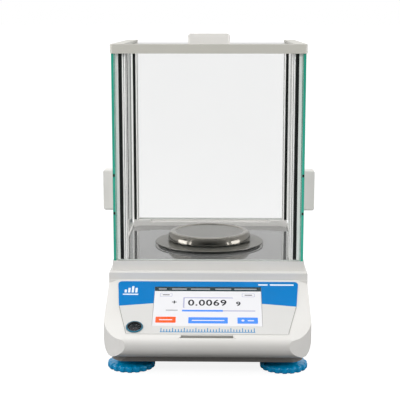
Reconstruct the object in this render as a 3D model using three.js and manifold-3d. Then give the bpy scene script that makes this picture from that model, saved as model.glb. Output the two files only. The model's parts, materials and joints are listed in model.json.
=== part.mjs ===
// Analytical balance with a glazed draft shield, a touch-screen control panel and levelling feet.
// Millimetres. +X is to the user's right, +Y is away from the user, +Z is up, and the feet stand on Z = 0.

import * as THREE from 'three';
import { mergeVertices } from 'three/addons/utils/BufferGeometryUtils.js';
import Module from 'manifold-3d';

const wasm = await Module();
wasm.setup();

// ---------------------------------------------------------------- driving dimensions

// Overall
const LENGTH = 340;
const FRONT = -LENGTH / 2;
const REAR = LENGTH / 2;
const HALF_WIDTH = 107.5;
const GAP = 0.3; // clearance between neighbouring pieces
const FAR = 400; // reaches past the whole object, for cutting shapes

// Heights
const TRIM_BOTTOM = 14.2;
const TRIM_TOP = 20.4;
const SHELL_BOTTOM = 20.8;
const NOSE_Z = 36; // where the nose reaches furthest forward
const LEDGE_Z = 90.5;
const FLOOR_Z = 101;
const FRAME_BOTTOM = 324.8;
const FRAME_TOP = 334.5;

// Shell
const WALL = 3;
const CORNER_CREASE_X = 83; // where the flat nose breaks into its bevelled corners
const CORNER_DEPTH = 34;
const CORNER_PULL = [6, 10]; // how far the bevelled corner bows out, from its side and from its front
const REAR_CORNER_R = 16;
const PLINTH_HALF = 104;
const NOSE_TUCK = [12, 4.7]; // run and rise of the curve under the nose
const SIDE_TUCK = [6, 13]; // run and rise of the curve under the sides
const BAND_OFFSET = 2; // from the panel's top edge back to the upright band
const LEDGE_CHAMFER = 1.5;
const REAR_EDGE_R = 4;
const POST_R = 6.5;
const PILOT_R = 2.2;
const SCREW_HEAD_R = 3.8;

// Weighing chamber
const CHAMBER_FRONT = -70; // outer face of the front glass
const CHAMBER_REAR = 146;
const REAR_LEDGE_Y = 126;
const REAR_LEDGE_Z = 107.8;
const CHAMBER_HALF = 97.2; // half width of the recess in the plinth's top
const LEDGE_DIP = { half: 76, length: 7, depth: 2.1 };
const STEM_HOLE_R = 13;

// Control panel: a plane tilted about X, hinged on its top edge
const PANEL_ANGLE = THREE.MathUtils.degToRad(23.5);
const PANEL_TOP_Y = -81;
const PANEL_TOP_Z = 81;
const PANEL_LENGTH = 90;
const CREASE = [[97.2, 0], [93.6, 43], [83.2, 88]]; // half width of the flat, and distance down the slope
const CHEEK_FALL = 0.3; // drop of the bevelled cheeks per millimetre outwards
const FILM_THICKNESS = 0.4;
const FILM_BOTTOM = 0.1;
const FILM_CORNER = 5;
const SEAT_DEPTH = 1.9; // of the screen's recess
const SCREEN_HALF = 56.6;
const SCREEN_V = [10.8, 75.4];
const LEVEL_X = -74.3;
const LEVEL_V = 77.8;
const LEVEL_HOLE_R = 8.1;
const SLOT_HALF = 26.4;
const SLOT_V = [89.4, 92];
const SCOOP_END = { half: 32.6, v: 96 }; // lower end of the shallow scoop below the slot

// Draft shield glass and frame
const RAIL_Z = 96.6; // underside of the rails that the side doors slide in
const DOOR_INNER_X = 100.3;
const DOOR_THICKNESS = 2.8;
const DOOR_BOTTOM = 98.4;
const DOOR_TOP = 328.3;
const PANE_THICKNESS = 3;
const FRAME_HALF = 104.2;
const FRAME_OPENING_HALF = 91.5;
const FRAME_BAR = 16; // depth of the front and rear bars
const TOP_DOOR_Z = 328.5;
const TOP_DOOR_HALF = 95.2;

// Pillars. Widths run outwards from the inner face: ribs is where the shallow grooves are.
const PILLAR_OUTER_X = 99.4;
const PILLAR_DEPTH = 12.5;
const STRIP_DEPTH = 2.2;
const GROOVE_DEPTH = 0.7;
const CHANNEL = [2.6, 1.8]; // depth and half width of the channel in the inner face
const PILLAR_ROWS = {
  front: { innerX: 88, strip: [4.9, 7.9], ribs: [[1.1, 2.1], [3.1, 4.1]] },
  rear: { innerX: 91.6, strip: [2.6, 5.4], ribs: [[0.9, 1.7]] },
};

// Handles
const HANDLE_LENGTH = 45.4;
const HANDLE_DEPTH = 15;
const HANDLE_FRONT = -40;
const HANDLE_RISE = 12.6;
const SIDE_HANDLE_Z = 174;
const PAD_R = 3;
const PAD_THICKNESS = 0.7;
const PAD_SPACING = 38;

// Weighing
const PAN_Y = 23;
const PAN_DISH_R = 39.6; // of the dish's flat floor, inside the rolled rim
const PAN_Z = 116.3;
const PAN_FLOOR_Z = 115.2;
const PAN_SKIRT_R = 48.6;
const PAN_SKIRT_Z = 107.6;
const PAN_SHEET = 1.1; // thickness of the pan's sheet
const RING_R = 63.2;
const RING_Z = 104; // top of the ring's rim

// Feet
const FOOT_X = 80;
const FRONT_FOOT_Y = -125;
const REAR_FOOT_Y = 135;
const KNOB_R = 25;
const KNOB_TEETH = 18;
const KNOB_RIM = 6.5; // height of the toothed rim
const KNOB_TOP = 13.4;
const STUD_R = 4;

// Rear connector bay
const BAY_HALF = 58;
const BAY_Z = [34, 72];
const BAY_PLATE_Y = 158;

// ---------------------------------------------------------------- materials

const finish = (color, roughness, metalness = 0, extra = {}) =>
  new THREE.MeshStandardMaterial({ color, roughness, metalness, ...extra });
const clearGlass = { transparent: true, opacity: 0.3 };

const shellPlastic = finish(0xe6e5e1, 0.45);
const trimPaint = finish(0x464442, 0.5);
const framePlastic = finish(0xd2d0c8, 0.4);
const handlePlastic = finish(0xe4e3df, 0.4);
const overlayFilm = finish(0x0a8ad8, 0.3);
const screenGlass = finish(0xf4f6f8, 0.12);
const steel = finish(0xb2b2b0, 0.22, 1);
const polishedSteel = finish(0xc8c6c2, 0.1, 1);
const aluminium = finish(0xc4c6c8, 0.25, 1);
const blackRubber = finish(0x1a1a1a, 0.8);
const glass = finish(0xd8efe8, 0.05, 0, clearGlass);
const tealPlastic = finish(0x2f88a6, 0.35);
const footPlastic = finish(0x0a86be, 0.35);
const boardGreen = finish(0x1d5a38, 0.5);
const darkPlastic = finish(0x2a2a2c, 0.5);
const blackSteel = finish(0x3a3a3c, 0.4, 0.8);

// ---------------------------------------------------------------- solids

// A closed three.js geometry as a solid that can be cut and joined.
function toSolid(geometry) {
  const bare = geometry.clone();
  bare.deleteAttribute('normal');
  bare.deleteAttribute('uv');
  const merged = mergeVertices(bare, 1e-4);
  const index = merged.index.array;
  const triangles = [];
  for (let i = 0; i < index.length; i += 3) {
    const [a, b, c] = [index[i], index[i + 1], index[i + 2]];
    if (a !== b && b !== c && c !== a) triangles.push(a, b, c);
  }
  return new wasm.Manifold(new wasm.Mesh({
    numProp: 3,
    vertProperties: new Float32Array(merged.attributes.position.array),
    triVerts: new Uint32Array(triangles),
  }));
}

function toGeometry(solid) {
  const mesh = solid.getMesh();
  const geometry = new THREE.BufferGeometry();
  geometry.setAttribute('position', new THREE.BufferAttribute(mesh.vertProperties, 3));
  geometry.setIndex(new THREE.BufferAttribute(mesh.triVerts, 1));
  geometry.computeVertexNormals();
  return geometry;
}

const placed = (solid, matrix) => toSolid(toGeometry(solid).applyMatrix4(matrix));
const moved = (solid, x, y, z) => placed(solid, new THREE.Matrix4().makeTranslation(x, y, z));
const joined = (...solids) => solids.reduce((whole, piece) => whole.add(piece));
const cut = (solid, ...cutters) => cutters.reduce((left, cutter) => left.subtract(cutter), solid);
const common = (...solids) => solids.reduce((whole, piece) => whole.intersect(piece));

function block(x0, x1, y0, y1, z0, z1) {
  const geometry = new THREE.BoxGeometry(x1 - x0, y1 - y0, z1 - z0);
  return toSolid(geometry.translate((x0 + x1) / 2, (y0 + y1) / 2, (z0 + z1) / 2));
}

function outlineShape(outline) {
  if (outline instanceof THREE.Shape) return outline;
  return new THREE.Shape(outline.map(([u, v]) => new THREE.Vector2(u, v)));
}

function extruded(outline, depth, curveSegments = 8) {
  return new THREE.ExtrudeGeometry(outlineShape(outline), { depth, bevelEnabled: false, curveSegments });
}

// An outline in (y, z) drawn out along X.
function prismX(outline, x0, x1) {
  const axes = new THREE.Matrix4().makeBasis(
    new THREE.Vector3(0, 1, 0),
    new THREE.Vector3(0, 0, 1),
    new THREE.Vector3(1, 0, 0),
  );
  return toSolid(extruded(outline, x1 - x0).applyMatrix4(axes).translate(x0, 0, 0));
}

// An outline in (x, z) drawn out along Y.
function prismY(outline, y0, y1) {
  const axes = new THREE.Matrix4().makeBasis(
    new THREE.Vector3(1, 0, 0),
    new THREE.Vector3(0, 0, 1),
    new THREE.Vector3(0, -1, 0),
  );
  return toSolid(extruded(outline, y1 - y0).applyMatrix4(axes).translate(0, y1, 0));
}

// An outline in (x, y) drawn out along Z.
function prismZ(outline, z0, z1) {
  return toSolid(extruded(outline, z1 - z0).translate(0, 0, z0));
}

// A profile in (radius, z) turned about the vertical axis through (x, y).
function turned(profile, x = 0, y = 0, segments = 48) {
  const area = profile.reduce((sum, [r, z], i) => {
    const [nextR, nextZ] = profile[(i + 1) % profile.length];
    return sum + r * nextZ - nextR * z;
  }, 0);
  const ordered = area > 0 ? profile : [...profile].reverse();
  const onAxis = ordered[0][0] === 0 && ordered.at(-1)[0] === 0;
  const closed = onAxis ? ordered : [...ordered, ordered[0]];
  const geometry = new THREE.LatheGeometry(closed.map(([r, z]) => new THREE.Vector2(r, z)), segments);
  return toSolid(geometry.rotateX(Math.PI / 2).translate(x, y, 0));
}

const cylinder = (r, z0, z1, x = 0, y = 0, segments = 32) =>
  turned([[0, z0], [r, z0], [r, z1], [0, z1]], x, y, segments);
const tube = (r0, r1, z0, z1, x = 0, y = 0, segments = 32) =>
  turned([[r0, z0], [r1, z0], [r1, z1], [r0, z1]], x, y, segments);

// A cylinder whose axis runs along Y.
function cylinderY(r, y0, y1, x, z, segments = 24) {
  const geometry = new THREE.CylinderGeometry(r, r, y1 - y0, segments);
  return toSolid(geometry.translate(x, (y0 + y1) / 2, z));
}

// A cylinder whose axis runs along X.
function cylinderX(r, x0, x1, y, z, segments = 24) {
  const geometry = new THREE.CylinderGeometry(r, r, x1 - x0, segments).rotateZ(Math.PI / 2);
  return toSolid(geometry.translate((x0 + x1) / 2, y, z));
}

// Rounded rectangle, with one radius for its front corners and one for its rear corners.
function roundedPlan(halfWidth, front, rear, frontR, rearR = frontR) {
  const shape = new THREE.Shape();
  shape.absarc(-halfWidth + frontR, front + frontR, frontR, Math.PI, 1.5 * Math.PI);
  shape.absarc(halfWidth - frontR, front + frontR, frontR, 1.5 * Math.PI, 2 * Math.PI);
  shape.absarc(halfWidth - rearR, rear - rearR, rearR, 0, 0.5 * Math.PI);
  shape.absarc(-halfWidth + rearR, rear - rearR, rearR, 0.5 * Math.PI, Math.PI);
  return shape;
}

// Outline of the shell seen from above: flat nose, bevelled front corners and round rear corners.
function shellPlan(inset) {
  const halfWidth = HALF_WIDTH - inset;
  const front = FRONT + inset;
  const rear = REAR - inset;
  const rearR = REAR_CORNER_R - inset;
  const creaseX = CORNER_CREASE_X - inset / 2;
  const cornerY = front + CORNER_DEPTH;
  const [pullX, pullY] = CORNER_PULL;
  const shape = new THREE.Shape();
  shape.moveTo(-creaseX, front);
  shape.lineTo(creaseX, front);
  shape.quadraticCurveTo(halfWidth - pullX, front + pullY, halfWidth, cornerY);
  shape.absarc(halfWidth - rearR, rear - rearR, rearR, 0, 0.5 * Math.PI);
  shape.absarc(-halfWidth + rearR, rear - rearR, rearR, 0.5 * Math.PI, Math.PI);
  shape.lineTo(-halfWidth, cornerY);
  shape.quadraticCurveTo(-halfWidth + pullX, front + pullY, -creaseX, front);
  return shape;
}

// Everything on the lifted side of the plane through three points, as a large block.
function halfSpace(a, b, c) {
  const origin = new THREE.Vector3(...a);
  const along = new THREE.Vector3(...b).sub(origin).normalize();
  const across = new THREE.Vector3(...c).sub(origin);
  const normal = new THREE.Vector3().crossVectors(along, across).normalize();
  if (normal.z < 0) normal.negate();
  const side = new THREE.Vector3().crossVectors(normal, along);
  const matrix = new THREE.Matrix4().makeBasis(along, side, normal).setPosition(origin);
  const geometry = new THREE.BoxGeometry(2 * FAR, 2 * FAR, FAR).translate(0, 0, FAR / 2);
  return toSolid(geometry.applyMatrix4(matrix));
}

// The panel's own axes: x across, y up the slope from its top edge (so points on it have y < 0), z outwards.
const panelMatrix = new THREE.Matrix4()
  .makeRotationX(PANEL_ANGLE)
  .setPosition(0, PANEL_TOP_Y, PANEL_TOP_Z);
const onPanel = (solid) => placed(solid, panelMatrix);
const panelBlock = (x0, x1, v0, v1, w0, w1) => block(x0, x1, -v1, -v0, w0, w1);

// ---------------------------------------------------------------- assembly

const balance = new THREE.Group();

function add(name, solid, material) {
  const mesh = new THREE.Mesh(toGeometry(solid), material);
  mesh.name = name;
  balance.add(mesh);
}

const sides = [['left', -1], ['right', 1]];

// ---------------------------------------------------------------- shell

// Side view of the shell (y, z): nose, sloping panel, band, ledge, plinth and rear wall.
function shellSideView() {
  const panelEndY = PANEL_TOP_Y - PANEL_LENGTH * Math.cos(PANEL_ANGLE);
  const panelEndZ = PANEL_TOP_Z - PANEL_LENGTH * Math.sin(PANEL_ANGLE);
  const bendZ = panelEndZ - (panelEndY - FRONT) * Math.tan(PANEL_ANGLE);
  const bandY = PANEL_TOP_Y + BAND_OFFSET;
  const plinthFront = CHAMBER_FRONT - 2;
  const shape = new THREE.Shape();
  shape.moveTo(FRONT + NOSE_TUCK[0], SHELL_BOTTOM);
  shape.quadraticCurveTo(FRONT, SHELL_BOTTOM + NOSE_TUCK[1], FRONT, NOSE_Z);
  shape.quadraticCurveTo(FRONT, bendZ, panelEndY, panelEndZ);
  shape.lineTo(PANEL_TOP_Y, PANEL_TOP_Z);
  shape.lineTo(bandY, PANEL_TOP_Z + 1);
  shape.lineTo(bandY, LEDGE_Z - 1);
  shape.lineTo(bandY + 1, LEDGE_Z);
  shape.lineTo(plinthFront, LEDGE_Z);
  shape.lineTo(plinthFront, FLOOR_Z);
  shape.lineTo(CHAMBER_REAR + GAP, FLOOR_Z);
  shape.lineTo(CHAMBER_REAR + GAP, LEDGE_Z);
  shape.lineTo(REAR - REAR_EDGE_R, LEDGE_Z);
  shape.quadraticCurveTo(REAR, LEDGE_Z, REAR, LEDGE_Z - REAR_EDGE_R);
  shape.lineTo(REAR, SHELL_BOTTOM + 2 * REAR_EDGE_R);
  shape.lineTo(REAR - WALL, SHELL_BOTTOM);
  return shape;
}

// Front view of the shell (x, z): tucked-in bottom, upright sides, ledge and narrower plinth.
function shellFrontView() {
  const [tuckRun, tuckRise] = SIDE_TUCK;
  const tuckPull = 3;
  const shape = new THREE.Shape();
  shape.moveTo(-HALF_WIDTH + tuckRun, SHELL_BOTTOM);
  shape.lineTo(HALF_WIDTH - tuckRun, SHELL_BOTTOM);
  shape.quadraticCurveTo(HALF_WIDTH, SHELL_BOTTOM + tuckPull, HALF_WIDTH, SHELL_BOTTOM + tuckRise);
  shape.lineTo(HALF_WIDTH, LEDGE_Z - LEDGE_CHAMFER);
  shape.lineTo(HALF_WIDTH - LEDGE_CHAMFER, LEDGE_Z);
  shape.lineTo(PLINTH_HALF, LEDGE_Z);
  shape.lineTo(PLINTH_HALF, FLOOR_Z);
  shape.lineTo(-PLINTH_HALF, FLOOR_Z);
  shape.lineTo(-PLINTH_HALF, LEDGE_Z);
  shape.lineTo(-HALF_WIDTH + LEDGE_CHAMFER, LEDGE_Z);
  shape.lineTo(-HALF_WIDTH, LEDGE_Z - LEDGE_CHAMFER);
  shape.lineTo(-HALF_WIDTH, SHELL_BOTTOM + tuckRise);
  shape.quadraticCurveTo(
    -HALF_WIDTH, SHELL_BOTTOM + tuckPull, -HALF_WIDTH + tuckRun, SHELL_BOTTOM,
  );
  return shape;
}

// What the bevelled cheeks take off both ends of the panel, lowered by depth for the inner skin.
function cheekCutter(depth) {
  const wedges = [];
  for (const side of [-1, 1]) {
    for (let i = 0; i < CREASE.length - 1; i += 1) {
      const [topX, topV] = CREASE[i];
      const [lowX, lowV] = CREASE[i + 1];
      const reach = 10;
      const top = [side * topX, -topV, -depth];
      const low = [side * lowX, -lowV, -depth];
      const outer = [side * (topX + reach), -topV, -depth - CHEEK_FALL * reach];
      const beside = block(side < 0 ? -FAR : 0, side < 0 ? 0 : FAR, -FAR, FAR, -FAR, FAR);
      wedges.push(common(halfSpace(top, low, outer), beside));
    }
  }
  const inFront = block(-FAR, FAR, -FAR, PANEL_TOP_Y + 1.6, 0, FAR);
  return common(onPanel(joined(...wedges)), inFront);
}

// The hollow inside the shell, open at the bottom. Its skin keeps a wall's thickness inside the outer one.
function shellCavity() {
  const below = SHELL_BOTTOM - 5;
  const slopeTopY = PANEL_TOP_Y + WALL * Math.sin(PANEL_ANGLE);
  const slopeTopZ = PANEL_TOP_Z - WALL * Math.cos(PANEL_ANGLE);
  const slopeRun = 81;
  const noseY = FRONT + WALL + 0.6;
  const ceiling = LEDGE_Z - WALL;
  const rear = REAR - WALL;
  const lower = prismX([
    [FRONT + NOSE_TUCK[0] + WALL, below],
    [FRONT + NOSE_TUCK[0] + WALL, SHELL_BOTTOM + 2],
    [noseY, NOSE_Z - 5],
    [noseY, NOSE_Z + 2],
    [slopeTopY - slopeRun, slopeTopZ - slopeRun * Math.tan(PANEL_ANGLE)],
    [slopeTopY, slopeTopZ],
    [PANEL_TOP_Y + BAND_OFFSET + WALL, ceiling],
    [rear - 2, ceiling],
    [rear, ceiling - 2],
    [rear, below],
  ], -HALF_WIDTH + WALL, HALF_WIDTH - WALL);
  const plan = prismZ(shellPlan(WALL), 0, LEDGE_Z);
  const wide = HALF_WIDTH - WALL;
  const narrow = wide - SIDE_TUCK[0] - 1;
  const shoulder = SHELL_BOTTOM + SIDE_TUCK[1];
  const tuck = prismY([
    [-narrow, below], [narrow, below], [narrow, SHELL_BOTTOM + 1], [wide, shoulder], [wide, LEDGE_Z],
    [-wide, LEDGE_Z], [-wide, shoulder], [-narrow, SHELL_BOTTOM + 1],
  ], FRONT, REAR);
  const upperHalf = CHAMBER_HALF - WALL - 0.7;
  const upper = block(
    -upperHalf, upperHalf, CHAMBER_FRONT + 2 * WALL, CHAMBER_REAR - WALL - 1,
    LEDGE_Z - 10, FLOOR_Z - WALL,
  );
  return joined(cut(common(lower, plan, tuck), cheekCutter(WALL)), upper);
}

// The scoop under the slot: deepest beside the slot, and widening as it runs out down the slope.
function scoopCutter() {
  const startV = SLOT_V[1] - 0.6;
  const sideView = prismX([
    [-startV, 5], [-startV, -1.5], [-SCOOP_END.v, 0.4], [-SCOOP_END.v, 5],
  ], -SCOOP_END.half, SCOOP_END.half);
  const plan = prismZ([
    [-SLOT_HALF, -startV], [-SCOOP_END.half, -SCOOP_END.v],
    [SCOOP_END.half, -SCOOP_END.v], [SLOT_HALF, -startV],
  ], -5, 6);
  return common(sideView, plan);
}

const postPlaces = [[-88, -50], [88, -50], [-88, 105], [88, 105]];

function upperHousing() {
  const plan = prismZ(shellPlan(0), 0, FAR);
  const outer = common(
    prismX(shellSideView(), -HALF_WIDTH, HALF_WIDTH),
    prismY(shellFrontView(), FRONT, REAR),
    plan,
  );
  const rearLedge = block(
    -CHAMBER_HALF, CHAMBER_HALF, REAR_LEDGE_Y, CHAMBER_REAR, FLOOR_Z - 1, REAR_LEDGE_Z,
  );
  const ledgeDip = block(
    -LEDGE_DIP.half, LEDGE_DIP.half, REAR_LEDGE_Y - 1, REAR_LEDGE_Y + LEDGE_DIP.length,
    REAR_LEDGE_Z - LEDGE_DIP.depth, FAR,
  );
  const floorRecess = block(
    -CHAMBER_HALF, CHAMBER_HALF, CHAMBER_FRONT + 5, REAR_LEDGE_Y, FLOOR_Z - 1.5, FLOOR_Z + 1,
  );
  const stemHole = cylinder(STEM_HOLE_R, LEDGE_Z, FLOOR_Z + 1, 0, PAN_Y);
  const windowHalf = SCREEN_HALF - 4.6;
  const screenSeat = onPanel(joined(
    panelBlock(
      -SCREEN_HALF - GAP, SCREEN_HALF + GAP, SCREEN_V[0] - GAP, SCREEN_V[1] + GAP, -SEAT_DEPTH, 5,
    ),
    panelBlock(-windowHalf, windowHalf, SCREEN_V[0] + 4, SCREEN_V[1] - 4, -10, 0),
  ));
  const levelHole = onPanel(cylinder(LEVEL_HOLE_R, -12, 5, LEVEL_X, -LEVEL_V));
  const slot = onPanel(joined(
    panelBlock(-SLOT_HALF, SLOT_HALF, SLOT_V[0], SLOT_V[1], -2.4, 5),
    scoopCutter(),
  ));
  const bay = block(-BAY_HALF, BAY_HALF, BAY_PLATE_Y, REAR + 1, BAY_Z[0], BAY_Z[1]);
  const rails = sides.map(([, side]) => {
    const [x0, x1] = [side * CHAMBER_HALF, side * FAR].sort((a, b) => a - b);
    return block(x0, x1, CHAMBER_FRONT - 0.6, CHAMBER_REAR + 1, RAIL_Z - GAP, FLOOR_Z + 1);
  });
  const posts = postPlaces.map(([x, y]) => cylinder(POST_R, SHELL_BOTTOM + 0.6, FLOOR_Z - 2, x, y, 24));
  const pilots = postPlaces.map(([x, y]) => cylinder(PILOT_R, SHELL_BOTTOM - 1, SHELL_BOTTOM + 16, x, y, 16));
  const shell = cut(
    joined(cut(outer, cheekCutter(0)), cut(rearLedge, ledgeDip)),
    floorRecess, stemHole, screenSeat, levelHole, slot, bay, ...rails,
  );
  const hollow = cut(shell, cut(shellCavity(), ...posts));
  return cut(hollow, ...pilots);
}

// Dark base plate with tapered edges, stud holes and screw holes.
function bottomPlate() {
  const halfWidth = 101;
  const front = FRONT + 14;
  const rear = REAR - 4;
  const taper = 3;
  const sideView = [
    [front + taper, TRIM_BOTTOM], [front, TRIM_TOP], [rear, TRIM_TOP], [rear - taper, TRIM_BOTTOM],
  ];
  const frontView = [
    [taper - halfWidth, TRIM_BOTTOM], [halfWidth - taper, TRIM_BOTTOM],
    [halfWidth, TRIM_TOP], [-halfWidth, TRIM_TOP],
  ];
  const plate = common(
    prismX(sideView, -HALF_WIDTH, HALF_WIDTH),
    prismY(frontView, FRONT, REAR),
    prismZ(roundedPlan(halfWidth, front, rear, 24, 14), 0, FAR),
  );
  const studHoles = sides.map(([, side]) =>
    cylinder(STUD_R + 0.4, 0, FAR, side * FOOT_X, FRONT_FOOT_Y, 24));
  const screwHoles = postPlaces.flatMap(([x, y]) => [
    cylinder(PILOT_R, 0, FAR, x, y, 16),
    cylinder(SCREW_HEAD_R + 0.4, 0, TRIM_BOTTOM + 3, x, y, 16),
  ]);
  return cut(plate, ...studHoles, ...screwHoles);
}

function addShell() {
  add('upper_housing', upperHousing(), shellPlastic);
  add('bottom_plate', bottomPlate(), trimPaint);
  postPlaces.forEach(([x, y], i) => {
    const head = cylinder(SCREW_HEAD_R, TRIM_BOTTOM + 0.6, TRIM_BOTTOM + 2.8, x, y, 16);
    const shank = cylinder(PILOT_R - 0.4, TRIM_BOTTOM + 2, SHELL_BOTTOM + 14, x, y, 16);
    add(`base_screw_${i + 1}`, joined(head, shank), steel);
  });
}

// ---------------------------------------------------------------- control panel

function filmOutline() {
  const inset = 0.5;
  const [top, middle, low] = CREASE;
  const topV = 1.3;
  const corner = FILM_CORNER;
  const shape = new THREE.Shape();
  shape.moveTo(-low[0] + inset, -low[1]);
  shape.lineTo(low[0] - inset, -low[1]);
  shape.lineTo(middle[0] - inset, -middle[1]);
  shape.lineTo(top[0] - inset, -topV - corner);
  shape.quadraticCurveTo(top[0] - inset, -topV, top[0] - inset - corner, -topV);
  shape.lineTo(-top[0] + inset + corner, -topV);
  shape.quadraticCurveTo(-top[0] + inset, -topV, -top[0] + inset, -topV - corner);
  shape.lineTo(-middle[0] + inset, -middle[1]);
  return shape;
}

function addControlPanel() {
  const film = cut(
    prismZ(filmOutline(), FILM_BOTTOM, FILM_BOTTOM + FILM_THICKNESS),
    panelBlock(-SCREEN_HALF - GAP, SCREEN_HALF + GAP, SCREEN_V[0] - GAP, SCREEN_V[1] + GAP, -5, 5),
    cylinder(LEVEL_HOLE_R, -5, 5, LEVEL_X, -LEVEL_V),
  );
  add('control_film', onPanel(film), overlayFilm);

  const touch = panelBlock(-SCREEN_HALF, SCREEN_HALF, SCREEN_V[0], SCREEN_V[1], -1.6, 0.5);
  add('touch_screen', onPanel(touch), screenGlass);
  const lcd = panelBlock(-51.5, 51.5, SCREEN_V[0] + 4.5, SCREEN_V[1] - 4.5, -5, -2);
  add('display_module', onPanel(lcd), darkPlastic);
  const chips = [[-38, 24], [-6, 30], [24, 52]].map(([x, v]) =>
    panelBlock(x, x + 14, v, v + 10, -9, -7));
  const board = panelBlock(-48, 48, SCREEN_V[0] + 6, SCREEN_V[1] - 6, -7.2, -5.6);
  add('display_board', onPanel(joined(board, ...chips)), boardGreen);

  const bezel = turned([
    [7, -2], [7.8, -2], [7.8, 0.8], [8.8, 0.8], [8.8, 1.4], [8.2, 2], [7.3, 2], [7, 1.6],
  ], LEVEL_X, -LEVEL_V, 32);
  add('level_bezel', onPanel(bezel), tealPlastic);
  const cup = cut(
    cylinder(6.6, -9, -0.6, LEVEL_X, -LEVEL_V),
    cylinder(5.6, -7.8, 1, LEVEL_X, -LEVEL_V),
  );
  add('level_cup', onPanel(cup), darkPlastic);
  const lens = turned([[0, -0.3], [6.6, -0.3], [6.6, 0.6], [4.6, 1.2], [2.4, 1.5], [0, 1.6]],
    LEVEL_X, -LEVEL_V, 24);
  add('level_lens', onPanel(lens), glass);

  const sensorWindow = panelBlock(
    -SLOT_HALF + GAP, SLOT_HALF - GAP, SLOT_V[0] + GAP, SLOT_V[1] - GAP, -2.1, -0.9,
  );
  add('sensor_window', onPanel(sensorWindow), darkPlastic);
}

// ---------------------------------------------------------------- weighing parts

function weighCellBlock() {
  const body = block(-24, 24, PAN_Y - 14, PAN_Y + 86, 24, 58);
  const slits = [[29, 31], [50, 52]].map(([z0, z1]) =>
    block(-30, 30, PAN_Y - 4, PAN_Y + 44, z0, z1));
  const window = block(-30, 30, PAN_Y + 8, PAN_Y + 34, 36, 46);
  return cut(body, ...slits, window);
}

function addWeighingParts() {
  add('weigh_cell_block', weighCellBlock(), aluminium);
  add('weigh_cell_magnet', tube(6, 19, 24, 52, 0, PAN_Y + 107), blackSteel);
  const lever = joined(
    block(-7, 7, PAN_Y - 8, PAN_Y + 112, 60, 64),
    block(-12, 12, PAN_Y - 10, PAN_Y + 10, 60, 66),
  );
  add('weigh_cell_lever', lever, aluminium);
  add('pan_support', turned([
    [0, 66.4], [7, 66.4], [7, 96], [4.6, 99], [4.6, PAN_FLOOR_Z - 7.8], [3, PAN_FLOOR_Z - 6],
    [3, PAN_FLOOR_Z - 2.6], [0, PAN_FLOOR_Z - 2.6],
  ], 0, PAN_Y, 32), polishedSteel);

  const plateHalf = CHAMBER_HALF - GAP;
  const cutZ = [FLOOR_Z - 8, FLOOR_Z + 12]; // well clear of the plate's two faces
  const plate = block(
    -plateHalf, plateHalf, CHAMBER_FRONT + 5.4, REAR_LEDGE_Y - GAP, FLOOR_Z - 1.2, FLOOR_Z,
  );
  const notches = sides.map(([, side]) => {
    const inner = PILLAR_ROWS.front.innerX - 0.6;
    const [x0, x1] = [side * inner, side * (PILLAR_OUTER_X - 0.4)].sort((a, b) => a - b);
    return block(x0, x1, CHAMBER_FRONT, CHAMBER_FRONT + PILLAR_DEPTH + 4.1, ...cutZ);
  });
  const corners = sides.map(([, side]) => prismZ([
    [side * (plateHalf - 9), REAR_LEDGE_Y + 1],
    [side * (plateHalf + 2), REAR_LEDGE_Y + 1],
    [side * (plateHalf + 2), REAR_LEDGE_Y - 10],
  ], ...cutZ));
  const stemClearance = cylinder(STEM_HOLE_R + 1, ...cutZ, 0, PAN_Y);
  add('floor_plate', cut(plate, stemClearance, ...notches, ...corners), steel);

  const ringTop = RING_Z + 1.9;
  const ringFoot = FLOOR_Z + GAP;
  add('draft_ring', turned([
    [12, ringTop - 0.9], [15, ringTop - 1.1], [15, ringFoot], [17, ringFoot], [17, ringTop - 1.1],
    [38, ringTop - 1.3], [60, RING_Z - 0.4], [62.4, RING_Z - 1], [RING_R, RING_Z - 0.6],
    [RING_R, RING_Z], [62.2, RING_Z + 0.4], [60, RING_Z + 0.5], [38, ringTop - 0.3], [12, ringTop],
  ], 0, PAN_Y, 56), polishedSteel);
  const underside = PAN_FLOOR_Z - PAN_SHEET;
  add('weighing_pan', turned([
    [0, underside - 1], [3.5, underside - 1], [3.5, underside - 4.7], [8, underside - 4.7],
    [8, underside], [PAN_DISH_R + 0.8, underside], [41.8, PAN_Z - 1.3], [43.6, PAN_Z - 1.3],
    [45.2, PAN_Z - 2.2], [46.4, PAN_Z - 3.9], [47.3, PAN_Z - 6.3], [PAN_SKIRT_R - 1.1, PAN_SKIRT_Z],
    [PAN_SKIRT_R, PAN_SKIRT_Z], [48.4, PAN_Z - 6.1], [47.5, PAN_Z - 3.3], [46, PAN_Z - 1.2],
    [44, PAN_Z], [41.8, PAN_Z], [PAN_DISH_R, PAN_FLOOR_Z], [0, PAN_FLOOR_Z],
  ], 0, PAN_Y, 56), polishedSteel);
}

// ---------------------------------------------------------------- draft shield

// Pillar section, from its inner face (x = 0) outwards, and from its front face (y = 0) back.
function pillarSection({ innerX, strip, ribs }) {
  const w = PILLAR_OUTER_X - innerX;
  const d = PILLAR_DEPTH;
  const [strip0, strip1] = strip;
  const [channelDepth, channelHalf] = CHANNEL;
  const grooves = ribs.flatMap(([from, to]) => [
    [from, 0], [from + 0.3, GROOVE_DEPTH], [to - 0.3, GROOVE_DEPTH], [to, 0],
  ]);
  return [
    [0, 0.6], [0.4, 0], ...grooves,
    [strip0, 0], [strip0, STRIP_DEPTH], [strip1, STRIP_DEPTH], [strip1, 0],
    [w - 0.6, 0], [w, 0.6], [w, d - 0.6], [w - 0.6, d], [0.6, d], [0, d - 0.6],
    [0, d / 2 + channelHalf], [channelDepth, d / 2 + channelHalf],
    [channelDepth, d / 2 - channelHalf], [0, d / 2 - channelHalf],
  ];
}

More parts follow.
